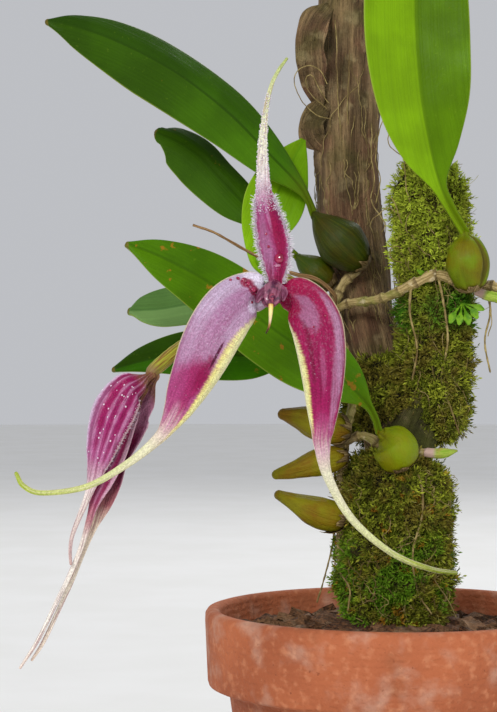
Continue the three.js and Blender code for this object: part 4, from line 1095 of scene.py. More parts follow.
# The way each leaf faces, how far its two halves fold forwards, and rows of x, y, z and half width from
# its foot to its tip, with a second half width where its right half is another.
LEAVES = {
    "leaf_upper_right": ((0.1, -1, 0), (0.16, 0.3), [
        (17.4, -7.1, 186.1, 1.2), (15.6, -8.4, 188.8, 1.25), (12.6, -11, 193.4, 1.5),
        (10.2, -13.6, 198.4, 2.8, 2.1), (7.9, -16.4, 206.4, 7.9, 7), (5.6, -18.6, 217.5, 11.6, 11.4),
        (4.3, -18, 231.4, 13.4, 12.9), (4.1, -15, 245, 13.6, 12.9), (4.6, -10, 261, 12.1, 11.4),
        (5.9, -4.6, 276.5, 8.4, 8), (7.2, 0, 288.5, 1),
    ]),
    "leaf_centre": ((0.1, -1, 0.3), (0.12, 0.18), [
        (-5.2, -14.5, 134.7, 1), (-6.2, -15, 138, 1), (-8.6, -15.6, 142, 1.6), (-14, -17, 147.4, 6.2, 5.6),
        (-23, -19, 154.2, 9.9, 8.4), (-32.1, -20.6, 160.7, 10.4, 8.2), (-40.6, -22, 167.1, 10, 8.2),
        (-50.6, -24, 173.7, 8.5, 7.2), (-60.6, -25, 178.8, 5.7, 4.4), (-68.6, -26, 181.8, 0.7),
    ]),
    "leaf_upper_left": ((0, -1, 0.1), (0.06, -0.7), [
        (-20.9, 12.9, 192.2, 1.2), (-22.7, 12, 196.4, 1.15), (-25.6, 10.8, 200.4, 2.5, 2.2),
        (-32.5, 8.6, 207.4, 6.1, 4.9), (-42.6, 6, 217.5, 9, 6.7), (-53.9, 3, 226.3, 10.7, 6.8),
        (-64.4, 0, 232.5, 10.7, 6.7), (-74.6, -3, 237, 8.6, 5.6), (-83.6, -5, 239.8, 5.3, 3.4),
        (-90.4, -6, 240.8, 1, 0.8),
    ]),
    "leaf_short_left": ((0, -1, 0.1), (0.1, -0.5), [
        (-25.4, 17, 180.95, 1), (-30, 17, 185.4, 1.1), (-35.4, 17, 191.1, 3.4, 2.9),
        (-41.1, 17, 196.6, 6.6, 5), (-47, 16.4, 202.7, 8, 5.2), (-52.3, 15.6, 208.2, 8.3, 5.4),
        (-57.6, 14.8, 211.8, 6.8, 4.4), (-61.4, 14, 213.4, 2.8, 2.4),
    ]),
    "leaf_back": ((0.2, -1, 0), (0.2, 0.2), [
        (-28.9, 9, 172.7, 1), (-33.2, 9.6, 175.8, 1.1), (-36.4, 10.4, 179.4, 1.8),
        (-35, 11.6, 186.5, 5.8, 5.6), (-32.3, 12.6, 193.9, 8.4, 8.2), (-29.3, 15, 201, 7.6, 7.4),
        (-26.3, 18.4, 207.6, 4.5), (-23.8, 21, 212.6, 1),
    ]),
    "leaf_lower_left": ((0, -1, 0.5), (0.12, 0.12), [
        (-25.2, 7, 163.5, 1), (-30.2, 8, 165.6, 1.1), (-36.8, 8.6, 167.4, 3.8, 3.4),
        (-44.8, 8, 168.2, 6, 5.6), (-54.6, 6.6, 167.6, 6.6, 6), (-61.7, 5.4, 166.3, 5.9, 5.6),
        (-66.6, 4.6, 165.8, 3.9, 3.8), (-69.6, 4.2, 165.6, 1),
    ]),
    "leaf_lowest_left": ((0, -1, 0.2), (0.14, 0.14), [
        (-19.5, 2.3, 153.8, 1), (-23.6, 2, 154.6, 1.1), (-30.2, 1.4, 154.4, 3.8),
        (-38.1, 0.4, 154, 6.4, 6.9), (-47.3, -1.6, 154.2, 6.9, 7.1), (-56.3, -3.6, 154.2, 5.8, 5.9),
        (-65.4, -5.6, 152.7, 3.3, 3.8), (-73.2, -7.6, 150.5, 0.7),
    ]),
}
# Colours of the left half, the right half and the midrib, and how much lighter the foot is, with painted
# light and
# shade: lit leaves and halves are lighter, shaded ones darker, midribs darker, leaf_lower_left's grey partly
# sheen.
LEAF_TINTS = {
    "leaf_upper_right": ("#6c9208", "#4c6e02", "#4c6c04", 1.18),
    "leaf_centre": ("#4a7402", "#446e02", "#365802", 1.15),
    "leaf_upper_left": ("#315204", "#2a4a04", "#213c02", 1.75),
    "leaf_short_left": ("#36580a", "#325206", "#264204", 1.3),
    "leaf_back": ("#7aa80c", "#6c9a08", "#54800a", 1.2),
    "leaf_lower_left": ("#6e9050", "#54783a", "#446830", 1.15),
    "leaf_lowest_left": ("#2f5e02", "#284602", "#203a02", 1.3),
}


def blade(rows, face, cup, thickness, steps, around, relief=None):
    """Rings of a thin blade through rows of x, y, z and half widths, and the values its points carry."""
    points, slopes = through([(*row[:4], row[-1]) for row in rows], steps)
    spine, widths = points[:, :3], np.maximum(points[:, 3:5], 0.05)
    along = unit(slopes[:, :3])
    swell = np.radians([25, 50, 72, 86])
    first = spine[0] - along[0] * (widths[0].mean() * np.sin(swell[::-1]))[:, None]
    last = spine[-1] + along[-1] * (widths[-1].mean() * np.sin(swell))[:, None]
    spine = np.vstack([first, spine, last])
    narrowed = np.concatenate([np.cos(swell[::-1]), np.ones(steps + 1), np.cos(swell)])[:, None]
    widths = np.vstack([np.repeat(widths[:1], 4, 0), widths, np.repeat(widths[-1:], 4, 0)]) * narrowed
    along = np.vstack([np.repeat(along[:1], 4, 0), along, np.repeat(along[-1:], 4, 0)])
    side = unit(np.cross(along, face))
    out = unit(np.cross(side, along))
    turn = 2 * math.pi * np.arange(around) / around
    across, front = np.cos(turn), np.sin(turn)
    width = np.where(across[None] < 0, widths[:, :1], widths[:, 1:])
    half = thickness(widths.mean(1))[:, None] * narrowed
    edge = np.sign(front) * np.abs(front) ** 0.6
    travelled = np.append(0, np.cumsum(np.linalg.norm(np.diff(spine, axis=0), axis=1)))[:, None]
    travelled, across, front = np.broadcast_arrays(travelled, across[None], front[None])
    lift = relief(travelled, across, front, across * width) if relief else np.zeros(across.shape)
    proud = cup(across) * width + half * edge + lift
    rings = spine[:, None] + side[:, None] * (across * width)[..., None] + out[:, None] * proud[..., None]
    marks = {
        "across": across, "along": travelled, "share": travelled / travelled[-1, 0], "front": front,
        "gap": np.abs(across * width), "lift": lift,
        "skin": np.stack([across * width, 0.6 * front, travelled], -1),
    }
    return rings, marks


def leathery(seed, width):
    """A groove over the midrib and a keel under it, a slightly wavy edge and a few shallow dents."""
    def relief(travelled, across, front, off):
        stalk = np.clip((15 - travelled) / 6, 0, 1) * (front > 0)
        channel = -0.5 * np.exp(-(off / 0.45) ** 2) * stalk
        rib = np.exp(-(off / 1.1) ** 2) * np.where(front > 0, -0.28, -0.6)
        beside = 0.22 * np.exp(-((np.abs(off) - 2.2) / 1.3) ** 2)
        wave = 0.5 * across ** 2 * np.sin(travelled / 8.5 + seed + 1.7 * np.sign(across))
        places = np.stack([off, travelled, np.full(off.shape, 3.1 * seed)], -1)
        broad = (rib + beside) * min(1, width / 6) + wave * width / 12
        return broad + channel + 0.3 * unevenness(places, 9, seed) + 0.6 * unevenness(places, 24, seed)
    return relief


def leaf_finish(name, left, right, rib, lighter, seed, spotted):
    """Leathery green with fine veins, a pale edge and a brown point, paler behind; painted light on its
    halves, foot and midrib.
    """
    made, tree = new_finish(name)
    across, share, gap = mark(tree, "across"), mark(tree, "share"), mark(tree, "gap")
    # Painted light: one half is lit and the other shaded.
    halves_in_painted_light = mixed(tree, rise(tree, across, -0.05, 0.05), left, right)
    veined = shaded(tree, halves_in_painted_light, rise(tree, streaks(tree, 0.5, 60, 0.3, 0.7, seed), 0, 1, 0.95, 1.05))
    clouded = shaded(tree, veined, rise(tree, blotches(tree, 14, 0.3, 0.7, seed), 0, 1, 0.84, 1.14))
    # Painted light: the blade is lighter towards its foot and a little darker towards its tip.
    lit = shaded(tree, clouded, rise(tree, share, 0.75, 0.2, 0.88, lighter))
    flecked = mixed(tree, blotches(tree, 0.9, 0.64, 0.74, seed + 3), lit, "#94b030", 0.1)
    # Painted shade: the crease along the midrib is darkened.
    rib_in_painted_shade = mixed(tree, rise(tree, gap, 0.5, 0.15, 0, 0.6), flecked, rib)
    edge = rise(tree, sums(tree, "ABSOLUTE", across), 0.965, 0.998, 0, 0.5)
    edged = mixed(tree, edge, rib_in_painted_shade, "#a2b048")
    stalked = mixed(tree, rise(tree, share, 0.2, 0.03, 0, 0.6), edged, "#64700a")
    tip = sums(tree, "ADD", share, times(tree, blotches(tree, 2, 0.3, 0.7, seed), 0.012))
    pointed = mixed(tree, rise(tree, tip, 0.992, 1.0, 0, 0.7), stalked, "#6e5a24")
    under = mixed(tree, rise(tree, mark(tree, "front"), 0.05, -0.25, 0, 0.6), pointed, "#7b9c46")
    rusty = blotches(tree, 2.6, 0.7 - 0.08 * spotted, 0.74 - 0.08 * spotted, seed + 8, 4)
    marked = mixed(tree, rusty, under, "#9a6a1c", 0.35 + 0.4 * spotted)
    veins = raised(tree, streaks(tree, 0.5, 70, 0.25, 0.75, seed), 0.06)
    bumps = raised(tree, blotches(tree, 0.9, 0.3, 0.7, seed, 4), 0.03, veins)
    rough = rise(tree, blotches(tree, 5, 0.3, 0.7, seed + 2), 0, 1, 0.38, 0.5)
    surface(tree, marked, rough, bumps, gloss=0.07)
    return made


def leaf_half(widths):
    """Half the thickness of a leaf, thick in its stalk and thin in its blade."""
    return np.maximum(0.45, 0.9 - 0.1 * np.maximum(0, widths - 1))


def folded(left, right):
    """A blade that folds forwards along its midrib, by a share of its width on each side."""
    def cup(across):
        return np.abs(across) ** 1.3 * np.where(across < 0, left, right)
    return cup


for k, (name, (face, folds, rows)) in enumerate(LEAVES.items()):
    relief = leathery(k + 1, max(row[3] for row in rows))
    green = leaf_finish(name + "_skin", *LEAF_TINTS[name], k + 1, name == "leaf_centre")
    made = blade(rows, face, folded(*folds), leaf_half, 90, 40, relief)
    piece(name + "_blade", made, green, "leaf", [name])

# Moss seedlings
# Tiny leafy plants that came up by themselves in the moss under the upper rhizome: two young blades
# and a fan of rounded leaflets on hair-thin stalks.
FAN_FOOT = (17.5, -0.6, 167.8, 0.12)
SEEDLING_LEAVES = [
    [(8.5, -0.6, 174.3, 0.3), (6.9, -2.2, 175.6, 0.75), (5.6, -3.2, 176.3, 0.25)],
    [(8.1, -0.6, 173.2, 0.3), (9.2, -2.4, 174.9, 0.8), (10.7, -3, 176.4, 0.25)],
    [FAN_FOOT, (15.6, -2.8, 165.6, 0.35), (14.7, -3.4, 164.2, 1.05), (14.2, -3.6, 163, 0.6)],
    [FAN_FOOT, (16.9, -3, 165.2, 0.35), (16.6, -3.8, 163.8, 1.0), (16.4, -4, 162.6, 0.6)],
    [FAN_FOOT, (18.2, -3, 165.4, 0.35), (18.6, -3.8, 163.8, 1.1), (18.8, -4, 162.6, 0.6)],
    [FAN_FOOT, (19.4, -2.6, 166.4, 0.35), (20.4, -3.2, 165.2, 1.05), (21, -3.4, 164.2, 0.6)],
    [FAN_FOOT, (20, -2.4, 167.2, 0.35), (21.6, -3, 166.6, 0.95), (22.6, -3.2, 166.2, 0.5)],
]


def gathered(name, parts, finish):
    """One piece from several small ones of the same finish."""
    points, faces, marks = [], [], {}
    for rings, values in parts:
        more_points, more_faces = skinned(rings)
        start = sum(len(p) for p in points)
        faces += [tuple(start + corner for corner in face) for face in more_faces]
        points.append(more_points)
        for title, value in carried(values).items():
            marks.setdefault(title, []).append(value)
    marks = {title: np.concatenate(values) for title, values in marks.items()}
    return show(mesh_of(name, np.vstack(points), faces, marks), name, finish)


def hollowed(share):
    """A blade whose edges curve forwards, by a share of its half width."""
    return lambda across: share * across * across


def even(half):
    """The same half thickness all over a blade."""
    return lambda widths: np.full(widths.shape, half)


seedling_skin, tree = new_finish("seedling_skin")
bright = mixed(tree, blotches(tree, 1.6, 0.4, 0.6, 2), "#4c7c0e", "#739e20")
surface(tree, bright, 0.5, gloss=0.15)
leaflets = [blade(rows, FRONT, hollowed(0.3), even(0.12), 16, 14) for rows in SEEDLING_LEAVES]
gathered("moss_seedlings", leaflets, seedling_skin)

# Bark flakes
# Two plates of outer bark that have come away from the tall prong and stand out to its left. They
# dried as they lifted, so they are curled and crumpled, and still hang on at their ends.
BARK_FLAKES = [
    [
        (-17, 29, 250, 2), (-19.4, 27.4, 247, 4), (-20.8, 26.6, 243, 4.4), (-21.2, 26.4, 238.6, 4),
        (-20.8, 26.4, 234, 4.3), (-20.4, 26.6, 229.6, 3.4), (-19.6, 27, 225.6, 2.4), (-18.6, 28, 222.6, 1),
    ],
    [
        (-16.6, 28, 224, 1.6), (-19, 27, 221.4, 3.2), (-21, 26.6, 218.4, 3.4), (-20.4, 27, 214.6, 3.6),
        (-18, 28, 211.6, 1.4),
    ],
]
FLAKE_FACE = (-0.3, -1, 0)


def crumpled(travelled, across, front, off):
    """Dents and small creases of bark that dried unevenly."""
    places = np.stack([off, travelled, 0 * off], -1)
    return 0.5 * unevenness(places, 5, 4) + 0.3 * unevenness(places, 1.8, 6)


plates = []
for rows in BARK_FLAKES:
    widened = []
    for k, (x, y, z, half) in enumerate(rows):
        odd = 0.1 * (k % 2)
        widened.append((x, y, z, half * (1.05 - odd), half * (0.95 + odd)))
    plates.append(blade(widened, FLAKE_FACE, hollowed(0.35), even(0.35), 48, 30, crumpled))
gathered("bark_flakes", plates, dry_bark)

# Flower stalk
# A slender fleshy stalk that springs from the rhizome and carries the open flower on its ribbed ovary.
# It is yellow green, streaked and speckled with brown.
FLOWER_STALK = [
    (-32.4, -41.1, 170.1, 1.3), (-32.2, -37, 171, 1.5), (-31.7, -33, 172.2, 1.2), (-30.4, -24, 173.8, 1),
    (-27.9, -14, 173.7, 0.9), (-23.4, -4.6, 171.2, 0.85), (-18.8, 4, 168.6, 0.85), (-15.9, 9.8, 167, 0.85),
]


def fluted(skin, share, turn):
    """The ribs of the ovary, which fade out down the stalk."""
    return 0.1 * np.cos(3 * turn) * np.clip(1 - share * 2.2, 0, 1) + 0.05 * unevenness(skin, 1.6, 2)


stalk_skin, tree = new_finish("stalk_skin")
limey = mixed(tree, streaks(tree, 0.35, 6, 0.36, 0.64, 1), "#9aa436", "#c0bd58")
flushed = mixed(tree, streaks(tree, 0.45, 9, 0.5, 0.62, 4), limey, "#8a4a22", 0.85)
specked = mixed(tree, blotches(tree, 0.7, 0.6, 0.68, 5), flushed, "#6f3426", 0.5)
surface(tree, specked, 0.5, raised(tree, streaks(tree, 0.25, 5, 0.3, 0.7, 3), 0.08))
piece("flower_stalk_fluted", stem(FLOWER_STALK, 24, 140, fluted), stalk_skin, "stalk", ["flower_stalk"])

# Lateral sepals
# The two broad fleshy sepals that hang to left and right, each drawn out into a long thin tail. Their
# faces are wine red under a frosting of tiny raised cells; the inner margin is yellow with fine cross
# streaks, the outer one a thin cream line, and the tails go from cream to yellow green.
LATERAL_LEFT = [
    (-33.2, -42.6, 168.9, 2.3, 2.4), (-34.9, -44.4, 168.9, 4.4, 3.9), (-37.2, -46.6, 169.2, 6, 5.3),
    (-40.4, -49.4, 167.6, 6.6, 6.2), (-43.8, -51.6, 164.5, 7.1, 6.4), (-47, -52.5, 160, 7.3, 6.2),
    (-49.6, -52.3, 155, 7.1, 5.8), (-51.7, -51.5, 150.3, 6.4, 5.1), (-53.7, -50.5, 145.6, 5.2, 4.4),
    (-55.5, -49.7, 141.3, 3.7, 3.3), (-57.5, -49.2, 137.5, 2.2), (-60, -49.2, 134.3, 1.4),
    (-66.7, -50.6, 128.8, 0.95), (-76.4, -53.4, 123.3, 0.74), (-86.8, -55, 121.8, 0.64),
    (-91.4, -54.6, 123.4, 0.62), (-93.2, -54, 126.3, 0.5),
]
LATERAL_RIGHT = [
    (-31.2, -42.6, 169.1, 2.4, 2.2), (-29.9, -44.2, 168.9, 3.7, 3.6), (-27, -46.4, 168.2, 5.2, 5.6),
    (-24.4, -49.2, 165.6, 6, 6.1), (-22.6, -51.4, 161.8, 6.4, 6.1), (-21.6, -52.4, 157.3, 6.2, 5.9),
    (-21, -52.2, 152.3, 5.7, 5.5), (-20.7, -51.1, 147.1, 4.9), (-20.8, -49.7, 141.9, 4.1, 4),
    (-21, -48.4, 136.8, 3.1, 2.8), (-21.1, -47, 132.5, 2.3, 1.8), (-19.4, -45, 125, 1.2),
    (-13.5, -42, 114.6, 0.95), (-3.6, -38, 106, 0.76), (5.9, -36, 101.9, 0.7), (12.4, -34, 100.7, 0.55),
]


PATCH_SIZES = {"Side": 0, "Reach": 20, "Half width": 0.5, "Half length": 10, "Soft": 0.3}


def patch_effect():
    """One soft ragged patch of colour on a sepal, by its place across and along."""
    tree, given = effect("sepal_patch", PATCH_SIZES)
    cloud = {"Vector": mark(tree, "skin", "Vector"), "Scale": 0.8, "Detail": 4.0}
    ragged = node(tree, "ShaderNodeTexNoise", cloud)
    aside = sums(tree, "SUBTRACT", mark(tree, "inner"), given["Side"])
    beyond = sums(tree, "SUBTRACT", mark(tree, "along"), given["Reach"])
    across = sums(tree, "DIVIDE", aside, given["Half width"])
    along = sums(tree, "DIVIDE", beyond, given["Half length"])
    away = sums(tree, "SQRT", sums(tree, "ADD", times(tree, across, across), times(tree, along, along)))
    uneven = sums(tree, "ADD", away, times(tree, sums(tree, "SUBTRACT", ragged, 0.5), 0.7))
    outside = sums(tree, "ADD", 1.0, given["Soft"])
    inside = sums(tree, "SUBTRACT", 1.0, given["Soft"])
    node(tree, "NodeGroupOutput", {"Mask": rise(tree, uneven, outside, inside)}, out=None)
    return tree


PATCH = patch_effect()


def patch(tree, *sizes):
    """A patch with the first of its sizes given, in their own order."""
    return node(tree, "ShaderNodeGroup", dict(zip(PATCH_SIZES, sizes)), node_tree=PATCH)


def over(tree, under, layers):
    """Lays colours over each other: each has a mask or a patch's place, its strength and its colour."""
    for mask, strength, code in layers:
        if isinstance(mask, tuple):
            mask = patch(tree, *mask)
        under = mixed(tree, mask, under, code, strength)
    return under


def bulging(share):
    """A blade whose middle stands forwards, by a share of its half width."""
    return hollowed(-share)


def sepal_half(widths):
    """Half the thickness of a sepal, which is as thick as it is wide in its tail."""
    return np.minimum(0.5, np.maximum(widths, 0.32))


def fleshy(seed, creased):
    """Faint ridges along the sepal, a rolled edge, and on one a crease beside its inner margin."""
    def relief(travelled, across, front, off):
        body = np.clip((55 - travelled) / 25, 0, 1)
        ridges = 0.16 * np.cos(7.5 * across) * body
        rolled = -0.5 * np.clip((np.abs(across) - 0.86) / 0.14, 0, 1) ** 2 * body
        inner = -across if creased else across
        crease = -0.7 * np.exp(-((inner - 0.5) / 0.07) ** 2) * np.exp(-((travelled - 28) / 5) ** 2)
        places = np.stack([off, travelled, front], -1)
        rippled = 0.22 * unevenness(places, 3.2, seed) + 0.5 * unevenness(places, 9, seed + 2)
        shaped = ridges + rolled + (crease if creased else 0)
        return shaped + rippled * body + 0.05 * unevenness(places, 1.1, seed)
    return relief


def with_inner(made, way, hidden=0.0):
    """Adds how far each point lies towards the inner margin; `hidden` mm lie behind the column."""
    rings, marks = made
    marks["inner"] = way * marks["across"]
    marks["along"] = marks["along"] - hidden
    return rings, marks


def sepal_skin(tree, paint, wet, seed):
    """The frosted skin of tiny raised cells that all the sepals share, with painted glints, smooth where it
    is wet.
    """
    cells = blotches(tree, 0.42, 0.34, 0.66, seed, 2)
    grains = shaded(tree, paint, rise(tree, cells, 0, 1, 0.88, 1.13))
    # Painted highlights: small pale glints scattered over the cells.
    glints = blotches(tree, 0.5, 0.7, 0.75, seed + 7, 1)
    glinting = mixed(tree, glints, grains, "#e8d0e0", 0.22)
    ribs = raised(tree, streaks(tree, 0.6, 9, 0.3, 0.7, seed), 0.12)
    bumps = raised(tree, cells, 0.1, ribs)
    rough = rise(tree, wet, 0, 1, 0.5, 0.1)
    surface(tree, glinting, rough, bumps, gloss=0.16)


LEFT_LOOK = {
    "stops": [
        (0.0, "#b094ac"), (0.1, "#ac84a2"), (0.27, "#a87698"), (0.35, "#a04a7c"), (0.42, "#a64c7c"),
        (0.48, "#b4708e"), (0.52, "#d6c2b4"), (0.57, "#dedcb2"), (0.8, "#c4ca78"), (0.93, "#a8b83c"),
        (1.0, "#94a82c"),
    ],
    "patches": [
        ((-0.7, 8, 0.4, 11, 0.4), 0.7, "#c2b0c8"), ((0.1, 10, 0.5, 9, 0.4), 0.6, "#a06890"),
        ((0.55, 12, 0.22, 8, 0.35), 0.5, "#ba9cb8"), ((-0.6, 24, 0.26, 9, 0.4), 0.6, "#b48fae"),
        ((0.15, 31, 0.45, 4.6, 0.35), 0.9, "#981c58"), ((0.4, 29.5, 0.2, 5, 0.35), 0.9, "#8a0e48"),
        ((0.1, 37, 0.34, 5, 0.4), 0.85, "#9c2860"), ((-0.42, 35, 0.42, 6.5, 0.35), 0.85, "#a23a70"),
        # The second patch on the next line is painted shade: a dark line along the crease beside the inner
        # margin.
        ((-0.08, 41.5, 0.22, 4, 0.4), 0.5, "#c892ac"), ((0.5, 23.5, 0.045, 4.2, 0.25), 0.95, "#4c0628"),
        # The two patches on the next line and the first on the line after are painted highlights, wet sheen
        # by the column.
        ((-0.62, 2.0, 0.45, 2.3), 0.85, "#e4dcec"), ((0.35, 0.9, 0.35, 1.7), 0.7, "#d4c6dc"),
        ((0.5, 5.6, 0.22, 2), 0.8, "#dccee6"), ((-0.5, 4.2, 0.22, 1.3), 0.95, "#8c0838"),
        ((-0.1, 3.5, 0.3, 1.2), 0.95, "#840836"), ((0.2, 2.2, 0.3, 1.3), 0.9, "#740832"),
    ],
    "wet": [(-0.3, 3, 0.6, 3), (0.45, 4, 0.3, 3.4)],
    "margin_start": (0, 24, 0.84, 0.55), "margin_fades": [(-1, 2), (42, 50)],
    "streaks": 0.2, "frost": 0.24, "seed": 3,
}
RIGHT_LOOK = {
    "stops": [
        (0.0, "#9c0a42"), (0.06, "#980c42"), (0.13, "#941048"), (0.3, "#92104e"), (0.4, "#9c1a58"),
        (0.45, "#aa4878"), (0.5, "#cca0b0"), (0.56, "#e0dcbc"), (0.78, "#d8dc9c"), (0.93, "#a0aa44"),
        (1.0, "#808c2c"),
    ],
    "patches": [
        ((0.12, 9, 0.4, 5.8, 0.25), 0.85, "#9e6486"), ((-0.76, 18, 0.17, 11, 0.35), 0.75, "#ae86a4"),
        ((-0.62, 29, 0.22, 10, 0.4), 0.7, "#ae7a9c"), ((0.42, 20, 0.09, 9, 0.5), 0.7, "#6c0630"),
        ((0.14, 25, 0.07, 9, 0.5), 0.5, "#740a3a"), ((-0.02, 24.5, 0.12, 5, 0.5), 0.4, "#b06892"),
        ((-0.94, 20, 0.08, 14, 0.4), 0.3, "#7c103a"), ((0.5, 3.6, 0.42, 4.6), 0.9, "#96063c"),
        ((0.0, 39, 0.45, 4, 0.4), 0.4, "#b05484"),
    ],
    "wet": [(0.5, 4, 0.4, 5)],
    "margin_start": (4, 28, 0.94, 0.6), "margin_fades": [(0, 4), (36, 43)],
    "streaks": 0.35, "frost": 0.08, "seed": 6,
}


def lateral_finish(name, look):
    """Wine red with its patches, some painted light, streaked and frosted, a yellow inner margin and a cream
    outer line.
    """
    made, tree = new_finish(name)
    along, inner = mark(tree, "along"), mark(tree, "inner")
    ground = graded(tree, sums(tree, "DIVIDE", along, 90.0), look["stops"])
    wet = patch(tree, *look["wet"][0])
    for place in look["wet"][1:]:
        wet = sums(tree, "MAXIMUM", wet, patch(tree, *place))
    (begins, whole), (ends, gone) = look["margin_fades"]
    in_reach = times(tree, rise(tree, along, begins, whole), rise(tree, along, gone, ends))
    streaky = times(tree, streaks(tree, 0.42, 8, 0.46, 0.62, 4), rise(tree, along, 46, 30))
    body = over(tree, ground, look["patches"] + [(streaky, look["streaks"], "#7c0c40")])
    frost = times(tree, blotches(tree, 0.6, 0.5, 0.64, 9, 3), rise(tree, along, 30, 20))
    frosted = mixed(tree, frost, body, "#d4bcd4", look["frost"])
    rays = times(tree, streaks(tree, 0.5, 14, 0.44, 0.6, 6), rise(tree, along, 36, 44))
    rayed = mixed(tree, rays, frosted, "#e4d8c4", 0.35)
    comb_size = {"X": times(tree, along, 2.4), "Y": times(tree, inner, 1.6)}
    comb_place = node(tree, "ShaderNodeCombineXYZ", comb_size)
    comb = node(tree, "ShaderNodeTexNoise", {"Vector": comb_place, "Scale": 1.0, "Detail": 2.0})
    wander = times(tree, sums(tree, "SUBTRACT", comb, 0.5), 0.24)
    ragged_start = sums(tree, "ADD", rise(tree, along, *look["margin_start"]), wander)
    margin = rise(tree, inner, ragged_start, sums(tree, "ADD", ragged_start, 0.2))
    golden = mixed(tree, rise(tree, inner, 0.6, 0.92), "#e8dc7c", "#dfdca0")
    margined = mixed(tree, times(tree, margin, in_reach), rayed, golden)
    combed = times(tree, times(tree, rise(tree, comb, 0.56, 0.64), margin), rise(tree, inner, 0.93, 0.8))
    streaked = mixed(tree, times(tree, combed, times(tree, in_reach, 0.4)), margined, "#c4707a")
    rim = mixed(tree, rise(tree, inner, 0.9, 0.97), streaked, "#e3ddb4", 0.75)
    outline = times(tree, rise(tree, inner, -0.93, -0.985), rise(tree, along, 0, 4))
    outlined = mixed(tree, outline, rim, "#dccba4", 0.85)
    behind = times(tree, rise(tree, mark(tree, "front"), 0.0, -0.3), rise(tree, along, 50, 40))
    sepal_skin(tree, mixed(tree, behind, outlined, "#b98a8c", 0.7), wet, look["seed"])
    return made


left_blade = blade(LATERAL_LEFT, FRONT, bulging(0.32), sepal_half, 150, 56, fleshy(1, True))
left_sepal = with_inner(left_blade, -1, 4.8)
right_blade = blade(LATERAL_RIGHT, FRONT, bulging(0.32), sepal_half, 150, 56, fleshy(2, False))
right_sepal = with_inner(right_blade, 1, 4.4)
for side, made, look in (("left", left_sepal, LEFT_LOOK), ("right", right_sepal, RIGHT_LOOK)):
    finish = lateral_finish(side + "_sepal_skin", look)
    piece("lateral_sepal_" + side, made, finish, "sepal", ["sepal_lateral_" + side])

# Dorsal sepal
# The upright sepal: a fleshy shallow trough, pink with a deep red band, that narrows to a thread with a
# greenish end. Short white hairs edge it all round like frost and cover its neck too.
DORSAL = [
    (-32.1, -43.6, 170.6, 1.7), (-31.9, -43.4, 172.1, 1.8), (-31.8, -43, 174.4, 2.6),
    (-31.9, -42.4, 178.2, 3.5), (-32.5, -42.2, 182.3, 3.8, 3.7), (-33.4, -42.4, 186.4, 3.4, 3.3),
    (-34.3, -43.2, 190.4, 2.6), (-34.8, -44, 194.4, 1.85), (-35, -44.6, 198.6, 1.4),
    (-35.1, -44.8, 202.7, 1.15), (-34.9, -44.8, 206.8, 0.95), (-34.3, -44.2, 213.2, 0.6),
    (-32.9, -42.6, 219.4, 0.48), (-31.1, -41.4, 223.2, 0.42), (-29.2, -40.4, 226, 0.32),
]
DORSAL_FACE = (-0.12, -1, 0)


def troughed(travelled, across, front, off):
    """Low ridges along the sepal, and the uneven skin of its neck and thread."""
    places = np.stack([off, travelled, front], -1)
    body = np.clip((24 - travelled) / 8, 0, 1)
    ridges = 0.14 * np.cos(9 * across) * body
    return ridges + 0.14 * unevenness(places, 2.2, 3) + 0.1 * unevenness(places, 0.8, 5) * (1 - 0.7 * body)


dorsal_skin, tree = new_finish("dorsal_skin")
along, inner = mark(tree, "along"), mark(tree, "inner")
ground = graded(tree, sums(tree, "DIVIDE", along, 60.0), [
    (0.0, "#8c1440"), (0.04, "#983060"), (0.1, "#9c4c7a"), (0.22, "#94265c"), (0.3, "#a44c80"),
    (0.35, "#c094ac"), (0.42, "#dccfcf"), (0.5, "#e6e4d0"), (0.75, "#ccd09c"), (0.93, "#a8b468"),
    (1.0, "#98a64c"),
])
base_stripes = times(tree, streaks(tree, 0.42, 5, 0.44, 0.56, 8), rise(tree, along, 6, 2.5))
painted = over(tree, ground, [
    ((0.42, 10.5, 0.38, 9, 0.35), 0.9, "#8c0a3e"), ((-0.5, 8, 0.34, 9, 0.4), 0.5, "#aa7ca0"),
    ((0.0, 16.5, 0.12, 4, 0.5), 0.4, "#c490b4"), ((0.85, 18, 0.3, 5, 0.4), 0.85, "#7a1444"),
    (streaks(tree, 0.35, 6, 0.5, 0.62, 3), 0.4, "#8f1450"), (base_stripes, 0.75, "#7c0c3c"),
    # The next patch is a painted reflection: a pale crescent under the big nectar drop.
    ((0.12, 3.7, 0.22, 0.3, 0.4), 0.5, "#d8a8c0"),
])
edge = sums(tree, "ABSOLUTE", inner)
ragged_edge = sums(tree, "ADD", edge, times(tree, blotches(tree, 0.7, 0.3, 0.7, 5), 0.14))
white_edge = times(tree, rise(tree, ragged_edge, 0.9, 1.05), rise(tree, along, 26, 18))
edged = mixed(tree, white_edge, painted, "#d8c6d4", 0.6)
sepal_skin(tree, edged, patch(tree, 0.25, 5, 0.4, 2.6, 0.3), 12)
dorsal = with_inner(blade(DORSAL, DORSAL_FACE, hollowed(0.45), sepal_half, 180, 48, troughed), 1, 3.2)
piece("dorsal_sepal", dorsal, dorsal_skin, "sepal", ["sepal_dorsal"])


def hair(tall, thick):
    """One short blunt hair, a little bent."""
    points, faces = [], []
    for k, (up, wide) in enumerate([(-0.1, 1), (0.5, 0.8), (0.92, 0.45)]):
        for turn in (0, 2.094, 4.189):
            x, y = wide * thick * math.cos(turn), wide * thick * math.sin(turn)
            points.append((x + 0.12 * tall * up * up, y, up * tall))
    points.append((0.13 * tall, 0, tall))
    for k in range(2):
        for j in range(3):
            a, b = 3 * k + j, 3 * k + (j + 1) % 3
            faces.append((a, b, b + 3, a + 3))
    faces += [(6, 7, 9), (7, 8, 9), (8, 6, 9), (2, 1, 0)]
    return mesh_of("hair", points, faces)


